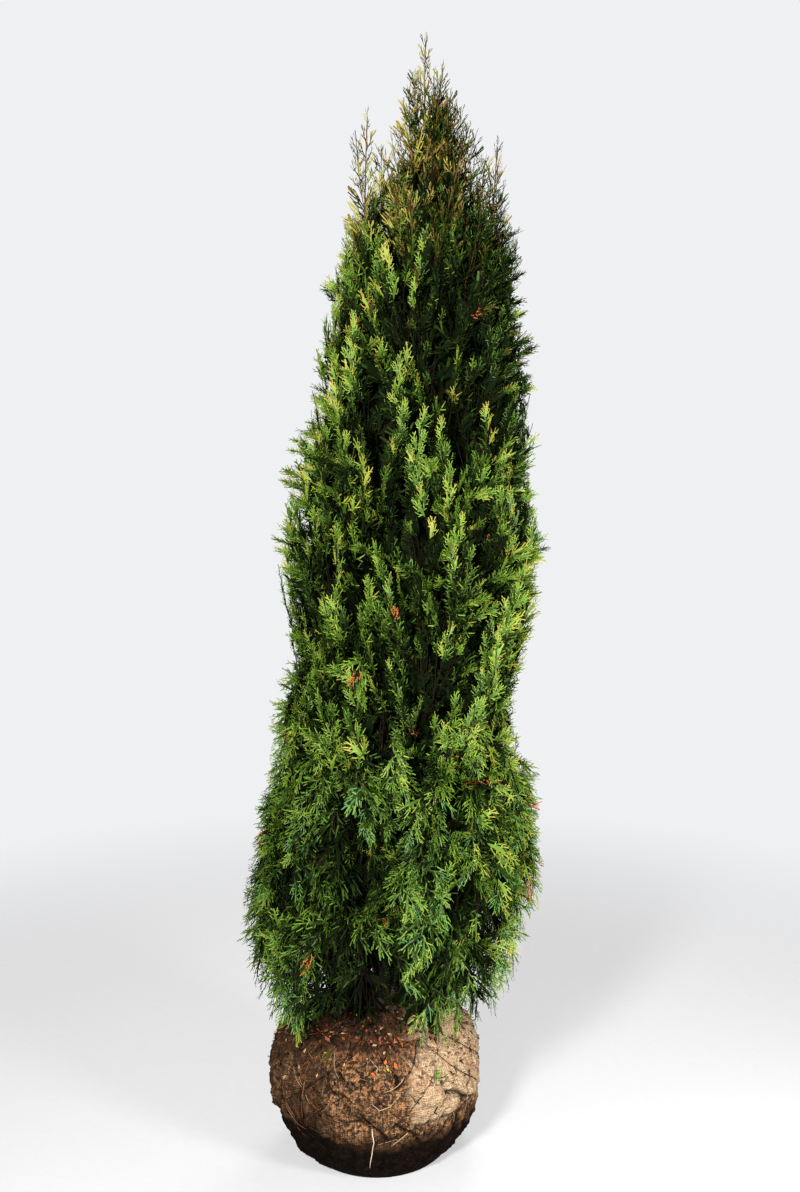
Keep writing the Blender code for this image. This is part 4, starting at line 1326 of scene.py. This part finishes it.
# %% One layer of shoots
def grow_layer(count, offset, low_share, high_share, kind, leafy_from, longest):
    """One layer of shoots over the whole crown, their tips between two shares of its reach."""
    for i in range(count):
        height = height_at((i * GOLDEN_SHARE + offset) % 1)
        turn = 2 * math.pi * ((i * PLASTIC_SHARE + offset) % 1)
        out = outward(turn)
        lumps = noise.noise(spot_round(turn, 2.4, 2.6 * height))
        lumps += 0.8 * noise.noise(spot_round(turn, 6, 5 * height + 3))
        cleft = noise.noise(spot_round(turn, 3.3, 1.7 * height + 9))
        share = LAYER_CHANCE.uniform(low_share, high_share) + 0.07 * lumps
        if low_share > 0.75:
            share -= CLEFT_DEPTH * max(0.0, 1 - abs(cleft) / 0.13) * (0.3 + 0.7 * abs(out.y))
        edge = crown_edge(turn, height)
        if kind == "coarse" and height > COARSE_TOP:
            share *= 0.65
        share = min(share, 0.995 + slack_at(turn, height) - OUTLINE_SLACK)
        thin = 0.35 * (height < 0.62 and abs(math.cos(turn)) > 0.75) + 0.12 * (height < 0.50)
        if GAP_CHANCE.random() < thin:
            continue
        tip = axis_point(height) + out * (edge * share - 0.005)
        if room_at(tip) < -0.016 or tip.z < skirt_edge(turn) or height > TOP_BODY:
            continue
        growth = owner_of(tip)
        plume, chance = growth.plume, growth.plume.chance
        low = clamp((1.2 - height) / 0.5)  # 1 in the low crown, where shoots lie wilder
        hanging = hangs(height, chance)
        if hanging:
            rise = -DROP * chance.uniform(0.4, 1.3)
        else:
            rise = RISE * chance.uniform(0.75, 1.2) * (1 - 0.75 * low * chance.random())
        start = plume.stem_point(max(0.42, height - rise))
        gap = tip - start
        level = Vector((gap.x, gap.y, 0))
        aside = UP.cross(out) * chance.gauss(0, 0.034 + 0.03 * low)
        if hanging:
            middle = start + level * chance.uniform(0.7, 0.95) + UP * 0.03 + aside
        elif chance.random() < NODDING:
            middle = start + level * 0.45 + UP * gap.z * 0.95 + aside
        else:
            middle = start + level * 0.88 + UP * gap.z * 0.22 + aside
        wilder = 1 + (0.45 * low if kind == "dense" else 0.0)
        sort, reach = kind, longest * wilder * chance.uniform(0.85, 1.2)
        if kind == "dense":
            if height > ANTLERS_ABOVE or (height < ANTLERS_BELOW and chance.random() < 0.55):
                sort = "antler"
            elif low > chance.random():
                sort = "lacy"
        roll = chance.gauss(0, 0.35) + (math.pi / 2 if chance.random() < 0.55 else 0)
        grow_shoot(growth, start, middle, tip, out, roll, sort, leafy_from, reach)


print("shares between tips:", GOLDEN_SHARE, "up and", PLASTIC_SHARE, "round")

# %% All the layers
CLEFT_DEPTH = 0.17
NODDING = 0.35  # the share of upright shoots whose tips nod outwards
COARSE_TOP = 2.20  # above this coarse sprays stay close to the trunk
ANTLERS_ABOVE = 2.22
ANTLERS_BELOW = 0.52
TOP_BODY = 2.38  # above this the crown is leading shoots only
SKIN_FOOT = 0.33
BANDS = 220
SKIN_BANDS = [(0.0, SKIN_FOOT)]  # running total of reach over height, and the height
for step in range(1, BANDS + 1):
    band = SKIN_FOOT + 0.01 * step
    SKIN_BANDS.append((SKIN_BANDS[-1][0] + crown_reach(band) + 0.03, band))
LAYER_CHANCE = random.Random(41)
GAP_CHANCE = random.Random(7)  # low at the sides the crown is thin, and the sky shows through it
LAYERS = (  # shoots, offset, shares of the reach, sort, share without leaves, longest spray
    (900, 0.13, 0.93, 1.00, "dense", 0.35, 0.058),
    (560, 0.47, 0.80, 0.93, "dense", 0.30, 0.062),
    (360, 0.71, 0.62, 0.80, "coarse", 0.10, 0.100),
    (280, 0.29, 0.35, 0.60, "coarse", 0.00, 0.120),
)
growths = [Growth(plume) for plume in plumes]
for layer in LAYERS:
    grow_layer(*layer)
print("sprays:", sum(len(growth.sprays) for growth in growths))

# %% [markdown]
# ## Leading shoots
# The crown ends in several spires, where single leading shoots stand above the mass. Each is a slim
# reddish stem with short side twigs set round it by the golden angle, longest at its foot. Their
# sprays are few and narrow, like small antlers, so the sky shows between them. Slimmer companions stand
# close to each, down both flanks of the main spire and all round it.

# %% Spires
SIDE_LEADERS = (  # foot and tip of the extra leading shoots of the top
    (Vector((0.122, 0.004, 2.40)), Vector((0.160, 0.010, 2.665))),
    (Vector((0.112, -0.004, 2.40)), Vector((0.088, -0.006, 2.640))),
    (Vector((0.135, -0.020, 2.34)), Vector((0.186, -0.020, 2.555))),
    (Vector((0.225, -0.010, 2.25)), Vector((0.262, 0.005, 2.455))),
    (Vector((0.225, -0.010, 2.25)), Vector((0.300, 0.010, 2.435))),
    (Vector((0.010, 0.000, 2.25)), Vector((0.012, -0.004, 2.480))),
    (Vector((-0.010, 0.000, 2.25)), Vector((-0.050, 0.004, 2.500))),
)
FLANK_LEADERS = (  # tips of the slim shoots down both flanks of the main spire
    (0.092, 2.655), (0.078, 2.610), (0.066, 2.575), (0.050, 2.530), (0.036, 2.490), (0.020, 2.465),
    (0.138, 2.640), (0.152, 2.625), (0.176, 2.600), (0.190, 2.575), (0.206, 2.560), (0.222, 2.530),
    (0.238, 2.505), (0.250, 2.475), (0.262, 2.445), (0.214, 2.500), (0.160, 2.560), (0.080, 2.550),
)
SMALL_LEADERS = 120
COMPANIONS = 11
MAIN_SIZES = (0.050, 0.0032, 0.009)  # longest side spray, thickness, and step from spray to spray
SPIRE_SIZES = (0.050, 0.0032, 0.016)
SIDE_SIZES = (0.046, 0.0018, 0.010)
SMALL_SIZES = (0.038, 0.0014, 0.0120)
FLANK_SIZES = (0.038, 0.0015, 0.0130)
COMPANION_SIZES = (0.034, 0.0011, 0.010)
LEADER_STATIONS = 10
LAST_REACH = 0.022
MAIN_FOOT = 2.33
LEADER_TINTS = (  # each up to a limit of one random draw, which darker shoots raise
    (0.10, "gold_tips"), (0.40, "bronze"), (0.66, "olive"), (1.05, "dark_green"), (9, "deep_green"),
)
STEM_RADII = [0.007, 0.006, 0.005, 0.004]


print("slim shoots of the top:", len(SIDE_LEADERS) + len(FLANK_LEADERS) + SMALL_LEADERS)

# %% One leading shoot
def grow_leader(growth, foot, tip, longest, thick, step, dark=0.0):
    """A leading shoot with side sprays set round it by the golden angle, each like a small antler."""
    chance = growth.plume.chance
    run = tip - foot
    tip = tip - run.normalized() * LAST_REACH  # the last spray reaches on from here
    wander = Vector((chance.uniform(-1, 1), chance.uniform(-1, 1), 0)) * 0.012
    path = bend(foot, foot.lerp(tip, 0.5) + wander, tip, LEADER_STATIONS)
    growth.twigs.append((path, [thick * (1 - 0.065 * i) for i in range(len(path))], True))
    count = max(3, int(run.length / step))
    for i in range(count + 1):
        share = i / count
        root, tangent = point_on(path, share)
        turn = Quaternion(tangent, i * GOLDEN_TURN + chance.uniform(-0.4, 0.4))
        out = turn @ tangent.orthogonal().normalized()
        length = (longest * (1 - share) ** 0.75 + 0.024) * chance.uniform(0.7, 1.15)
        open_angle = (0.70 - 0.25 * share) * chance.uniform(0.8, 1.2) if i < count else 0.0
        ahead = tangent * math.cos(open_angle) + out * math.sin(open_angle)
        across = out * math.cos(open_angle) - tangent * math.sin(open_angle)
        draw = chance.random() + dark
        tint = next(tint for limit, tint in LEADER_TINTS if draw < limit)
        kind = "wisp" if root.z > 2.47 or chance.random() < 0.4 else "antler"
        growth.add_spray(kind, root, ahead, across, length, -0.22, tint)


def grow_companions(growth, foot, leader):
    """Slimmer shoots that stand close to a spire."""
    for i in range(COMPANIONS):
        share = 0.10 + (0.40 if leader.x < 0 else 0.60) * ((i * GOLDEN_SHARE) % 1)
        off = outward(i * GOLDEN_TURN) * (0.012 + 0.040 * (1 - share))
        low_end = foot.lerp(leader, max(0.0, share - 0.5))
        # painted shade on the companions of the right-hand spires, painted light on the others
        dark = 0.45 if leader.x > 0.1 else -0.15
        grow_leader(growth, low_end, foot.lerp(leader, share) + off, *COMPANION_SIZES, dark)


print("tints of a leading shoot:", len(LEADER_TINTS))

# %% All the spires
for growth in growths:
    plume = growth.plume
    if plume.leader:
        main = plume.name == "top"
        foot = axis_point(MAIN_FOOT) if main else plume.tip
        # painted shade on the spires to the right, painted light on those to the left
        dark = 0.10 if plume.leader.x > 0.15 else -0.22
        grow_leader(growth, foot, plume.leader, *(MAIN_SIZES if main else SPIRE_SIZES), dark)
        stem = [plume.foot.lerp(plume.tip, n / 3) for n in range(4)]
        growth.twigs.append((stem, STEM_RADII, False))
        if not main:
            grow_companions(growth, foot, plume.leader)
for foot, tip in SIDE_LEADERS:
    grow_leader(growths[-1], foot, tip, *SIDE_SIZES)
for i in range(SMALL_LEADERS):  # the top's flames: slim shoots that stand close round the main one
    height = 2.27 + 0.33 * ((i * GOLDEN_SHARE) % 1) ** 1.3
    out = outward(i * GOLDEN_TURN)
    reach = crown_reach(height) * LAYER_CHANCE.uniform(0.30, 1.08)
    tip = axis_point(height) + out * reach
    foot = axis_point(height - 0.17) + out * reach * 0.7
    # painted shade on inner shoots and on the right front, painted light on the outer ones
    dark = 0.12 if reach < 0.5 * crown_reach(height) else -0.16
    if out.x > 0.2 and out.y < 0.3:
        dark = 0.52
    grow_leader(growths[-1], foot, tip, *SMALL_SIZES, dark)
for x, height in FLANK_LEADERS:
    chance = growths[-1].plume.chance
    tip = Vector((x, chance.uniform(-0.05, 0.02), height))
    foot = Vector((0.118 + 0.6 * (x - 0.118), tip.y * 0.5, height - 0.20))
    # painted shade on the right flank, painted light on the left
    grow_leader(growths[-1], foot, tip, *FLANK_SIZES, 0.30 if x > 0.15 else -0.15)
print("with spires:", sum(len(growth.sprays) for growth in growths))

# %% [markdown]
# ## From gathered sprays to meshes
# One object per spray would be far too slow. The sprays of a plume become one mesh: arrays place all
# the straps of a pattern at once, and each face gets the number of its spray's tint.

# %% Meshes from arrays
def mesh_from_arrays(name, corners, faces, tints, smooth=False):
    """A mesh of polygons with equal numbers of sides."""
    mesh = bpy.data.meshes.new(name)
    count, sides = faces.shape
    mesh.vertices.add(len(corners))
    mesh.vertices.foreach_set("co", corners.astype(np.float32).ravel())
    mesh.loops.add(count * sides)
    mesh.loops.foreach_set("vertex_index", faces.astype(np.int32).ravel())
    mesh.polygons.add(count)
    mesh.polygons.foreach_set("loop_start", np.arange(0, count * sides, sides, dtype=np.int32))
    mesh.polygons.foreach_set("material_index", tints.astype(np.int32))
    mesh.update(calc_edges=True)
    mesh.validate()
    if smooth:
        mesh.shade_smooth()
    return mesh


def spray_mesh(name, sprays):
    """All sprays of a mass as one mesh."""
    corners, tints = [], []
    for number, (pattern, lighter) in enumerate(PATTERNS):
        own = [spray for spray in sprays if spray[0] == number]
        if not own:
            continue
        roots, aheads, sides = (np.array([spray[i] for spray in own]) for i in (1, 2, 3))
        lengths = np.array([spray[4] for spray in own])
        sags = np.array([spray[5] for spray in own])
        offs = np.cross(sides, aheads)
        x, y, z = pattern[..., 0], pattern[..., 1], pattern[..., 2]
        hollow = z - 0.10 * (x ** 2 + 0.3 * y ** 2)
        placed = (
            x[None, ..., None] * sides[:, None, None]
            + y[None, ..., None] * aheads[:, None, None]
            + hollow[None, ..., None] * offs[:, None, None]
        ) * lengths[:, None, None, None] + roots[:, None, None]
        placed[..., 2] -= (lengths * sags)[:, None, None] * (y ** 2)[None]
        corners.append(placed.reshape(-1, 3))
        dealt = np.array([spray[6] for spray in own])
        tints.append(TINT_STEPS[dealt[:, None], lighter[None] + 1].ravel())
    corners = np.concatenate(corners)
    faces = np.arange(len(corners)).reshape(-1, 4)
    return mesh_from_arrays(name, corners, faces, np.concatenate(tints))


leaf_faces = 0
for growth in growths:
    node = "foliage_" + growth.plume.name
    mesh = spray_mesh("sprays_" + growth.plume.name, growth.sprays)
    add_piece(mesh.name, mesh, tint_materials, "foliage", node)
    leaf_faces += 2 * len(mesh.polygons)
print("triangles of foliage:", leaf_faces)

# %% [markdown]
# ## Twigs
# The twigs that carry the sprays are three-sided and taper. They are joined to one piece as well, with
# two finishes: dull, near-black brown for old wood inside the crown, darkened as painted shade, and warm
# red-brown for the leading shoots.

# %% Twigs
TWIG_SIDES = 3


def twig_mesh(name, twigs):
    """Tapering three-sided twigs from arrays, closed at both ends."""
    corners, faces, kinds, start = [], [], [], 0
    for path, radii, leading in twigs:
        frames = station_frames(path)
        for matrix, radius in zip(frames, radii):
            for k in range(TWIG_SIDES):
                turn = 2 * math.pi * k / TWIG_SIDES
                corners.append(matrix @ Vector((radius * math.cos(turn), radius * math.sin(turn), 0)))
        for i in range(len(path) - 1):
            for k in range(TWIG_SIDES):
                low, high = start + i * TWIG_SIDES, start + (i + 1) * TWIG_SIDES
                n = (k + 1) % TWIG_SIDES
                faces += [(low + k, low + n, high + n), (low + k, high + n, high + k)]
        last = start + (len(path) - 1) * TWIG_SIDES
        faces += [(start + 2, start + 1, start), (last, last + 1, last + 2)]
        kinds += [int(leading)] * ((len(path) - 1) * TWIG_SIDES * 2 + 2)
        start = last + TWIG_SIDES
    return mesh_from_arrays(name, np.array(corners), np.array(faces), np.array(kinds), smooth=True)


# near black: old wood with painted shade of the crown's inside
shaded_old_twig = plain("old twigs", (0.007, 0.0045, 0.0025), 0.9, 0.03)
red_twig = plain("leading shoots", (0.095, 0.036, 0.012), 0.7, 0.15)
twigs = twig_mesh("twigs", [twig for growth in growths for twig in growth.twigs])
add_piece("twigs", twigs, [shaded_old_twig, red_twig], "bark")
print("twig triangles:", len(twigs.polygons))

# %% [markdown]
# ## Litter on the ball
# A ball that has stood in a nursery yard carries what fell on it. Chips of bark and dead leaves lie on
# its top slope, thickest near the trunk, with straws and rootlets caught in the wire, a pale root that
# hangs from a hole in the cloth, and a few sprays that broke off. Each thing lies on the same cloth
# surface that the ball was made from, so nothing floats.

# %% Chips and dead leaves
CHIPS = 2200
TOP_SLOPE = (  # radius and height of the ground that the litter lies on
    (0.262, 0.225), (0.257, 0.262), (0.238, 0.306), (0.197, 0.338), (0.165, 0.351), (0.130, 0.363),
    (0.100, 0.374), (0.080, 0.388),
)
CHIP_COLORS = (
    ("dark chips", (0.010, 0.006, 0.004)), ("brown chips", (0.048, 0.021, 0.010)),
    ("rusty chips", (0.150, 0.044, 0.014)), ("straw bits", (0.260, 0.170, 0.080)),
    ("yellow leaf", (0.420, 0.300, 0.050)), ("orange leaf", (0.340, 0.075, 0.016)),
)
SINGLE_LEAVES = (  # angle, height, length, number of its colour
    (-1.449, 0.306, 0.016, 4), (-1.425, 0.301, 0.013, 4), (-1.371, 0.313, 0.017, 5),
    (-1.47, 0.318, 0.012, 5), (-1.60, 0.300, 0.012, 5), (-0.80, 0.335, 0.014, 5),
)
CLOTH_SLOPE_STEPS = 3  # the steps of the slope that are the ball's own cloth
CHIP_ABOVE = 0.0015
LEAF_ABOVE = 0.004


print("single leaves:", len(SINGLE_LEAVES))

# %% Places on the ball
def cloth_frame(angle, height, above=0.0):
    """A place on the cloth with the directions round the ball, up it and out of it."""
    place = ball_point(angle, height, above)
    round_it = (ball_point(angle + 0.01, height, above) - place).normalized()
    up_it = (ball_point(angle, height + 0.004, above) - place).normalized()
    return place, round_it, up_it, round_it.cross(up_it).normalized()


def heading_in(round_it, up_it, heading):
    """The direction at a heading in the cloth: 0 is round the ball and a quarter turn is up it."""
    return round_it * math.cos(heading) + up_it * math.sin(heading)


def slope_frame(angle, share, above=0.0):
    """The same on the top slope, at a share of the way up it."""
    steps = len(TOP_SLOPE) - 1
    k = min(steps - 1, int(share * steps))
    low, high = Vector(TOP_SLOPE[k]), Vector(TOP_SLOPE[k + 1])
    spot = low.lerp(high, share * steps - k)
    if k < CLOTH_SLOPE_STEPS:
        return cloth_frame(angle, spot.y, above)
    out, round_it = outward(angle), outward(angle + math.pi / 2)
    up_it = (out * (high.x - low.x) + UP * (high.y - low.y)).normalized()
    off = round_it.cross(up_it).normalized()
    lean = axis_point(BALL_HEIGHT) * (share * 0.6)
    return out * spot.x + UP * spot.y + Vector((lean.x, 0, 0)) + off * above, round_it, up_it, off


def chip(frame_at, heading, length, width, tilt):
    """The four corners of a small twisted scrap that lies on the cloth."""
    place, round_it, up_it, off = frame_at
    ahead = heading_in(round_it, up_it, heading)
    aside = off.cross(ahead)
    ahead = ahead + off * tilt
    return [
        place - ahead * length * 0.5 - aside * width * 0.5,
        place + ahead * length * 0.1 - aside * width * 0.6 + off * 0.0008,
        place + ahead * length * 0.5 + aside * width * 0.2,
        place - ahead * length * 0.2 + aside * width * 0.5 + off * 0.0012,
    ]


print("steps of the top slope:", len(TOP_SLOPE) - 1)

# %% All the litter
litter_chance = random.Random(23)
corners, kinds = [], []
for _ in range(CHIPS):
    angle = litter_chance.uniform(-math.pi, math.pi)
    share = litter_chance.random() ** 0.7
    size = litter_chance.uniform(0.004, 0.014)
    tilt = litter_chance.gauss(0, 0.35)
    spot = slope_frame(angle, share, CHIP_ABOVE + 0.5 * abs(tilt) * size)
    heading = litter_chance.uniform(0, math.pi)
    corners += chip(spot, heading, size, size * litter_chance.uniform(0.25, 0.6), tilt)
    kinds.append(litter_chance.choices(range(4), (7, 8, 5, 2))[0])
for angle, height, length, kind in SINGLE_LEAVES:
    spot = cloth_frame(angle, height, LEAF_ABOVE)
    corners += chip(spot, litter_chance.uniform(0, 3), length, length * 0.45, 0.3)
    kinds.append(kind)
faces = np.arange(len(corners)).reshape(-1, 4)
chip_materials = [plain(name, color, 0.8, 0.15) for name, color in CHIP_COLORS]
litter = mesh_from_arrays("litter", np.array(corners), faces, np.array(kinds))
add_piece("litter", litter, chip_materials, "burlap")
print("chips:", len(kinds))

# %% Straws and roots
STRAWS = 260
LONG_STRAWS = (  # angle, height and how far each point stands off the cloth
    ((-1.610, 0.235, 0.004), (-1.535, 0.222, 0.006), (-1.440, 0.228, 0.005), (-1.347, 0.256, 0.006)),
    ((-1.640, 0.325, 0.004), (-1.560, 0.310, 0.006), (-1.480, 0.298, 0.004)),
    ((-1.300, 0.290, 0.003), (-1.360, 0.268, 0.008), (-1.500, 0.262, 0.003)),
    ((-1.260, 0.150, 0.003), (-1.330, 0.138, 0.006), (-1.420, 0.120, 0.004)),
    ((-2.060, 0.330, 0.003), (-2.000, 0.300, 0.008), (-1.930, 0.285, 0.003)),
)
HANGING_ROOT = (
    (-1.605, 0.170, 0.001), (-1.600, 0.158, 0.007), (-1.587, 0.140, 0.010), (-1.600, 0.120, 0.007),
    (-1.609, 0.101, 0.008), (-1.625, 0.080, 0.006), (-1.634, 0.061, 0.007),
)
STRAW_COLORS = (
    ("pale straw", (0.33, 0.23, 0.12)), ("brown rootlets", (0.060, 0.028, 0.013)),
    ("pale root", (0.50, 0.38, 0.26)), ("orange needles", (0.24, 0.085, 0.028)),
)
STRAW_TOP = 0.35


def strand(points, thick, kind):
    """A thin round strand over points given by angle, height and stand-off."""
    path = [ball_point(*point) for point in points]
    if len(path) == 3:
        path = bend(path[0], path[1], path[2], 5)
    return path, [thick * (1 - 0.35 * i / len(path)) for i in range(len(path))], kind


def short_straw():
    """A short straw somewhere on the cloth, both ends on it and its middle bent off it."""
    angle = litter_chance.uniform(-math.pi, math.pi)
    height = litter_chance.triangular(0.09, NET_TOP, 0.33)
    heading = litter_chance.uniform(0, 2 * math.pi)
    length = litter_chance.uniform(0.012, 0.038)
    turn, rise = math.cos(heading) * length / UNROLLED_RADIUS, math.sin(heading) * length
    ends = [(angle + turn * side, min(STRAW_TOP, height + rise * side), 0.001) for side in (-1, 1)]
    middle = (angle + litter_chance.gauss(0, 0.02), height, litter_chance.uniform(0.003, 0.009))
    thick = litter_chance.uniform(0.0003, 0.0007)
    return strand((ends[0], middle, ends[1]), thick, litter_chance.choice((0, 1, 1, 3, 3)))


strands = [strand(points, 0.0009, 0) for points in LONG_STRAWS]
strands.append(strand(HANGING_ROOT, 0.0016, 2))
strands += [short_straw() for _ in range(STRAWS)]
straw_materials = [plain(name, color, 0.7, 0.2) for name, color in STRAW_COLORS]
add_piece("straws", twig_mesh("straws", strands), straw_materials, "burlap")
print("strands:", len(strands))

# %% Fallen sprays
FALLEN = (  # angle, height, heading in the cloth, length, pattern, tint
    (-0.995, 0.262, 1.2, 0.045, "lacy", "fresh_green"), (-0.940, 0.268, 0.4, 0.030, "antler", "mid_green"),
    (-1.20, 0.335, 2.6, 0.050, "dense", "dead_orange"), (-0.70, 0.335, 1.0, 0.045, "dense", "dead_orange"),
    (-1.75, 0.322, 4.0, 0.045, "antler", "dead_orange"), (-2.15, 0.330, 5.1, 0.050, "dense", "bronze"),
    (-0.45, 0.325, 0.3, 0.045, "lacy", "dead_orange"), (0.30, 0.320, 2.0, 0.050, "dense", "dead_orange"),
    (1.20, 0.330, 1.0, 0.045, "lacy", "mid_green"), (2.10, 0.325, 0.2, 0.050, "dense", "dead_orange"),
    (2.90, 0.320, 3.3, 0.045, "antler", "bronze"), (-2.70, 0.325, 2.2, 0.045, "dense", "dead_orange"),
)
fallen = []
for angle, height, heading, length, kind, tint in FALLEN:
    place, round_it, up_it, off = cloth_frame(angle, height, LEAF_ABOVE)
    ahead = heading_in(round_it, up_it, heading)
    first, count = FIRST[kind]
    pattern = first + len(fallen) % count
    fallen.append((pattern, place, ahead, off.cross(ahead), length, 0.0, TINT_NUMBER[tint]))
add_piece("fallen_sprays", spray_mesh("fallen_sprays", fallen), tint_materials, "foliage")
print("fallen sprays:", len(fallen))
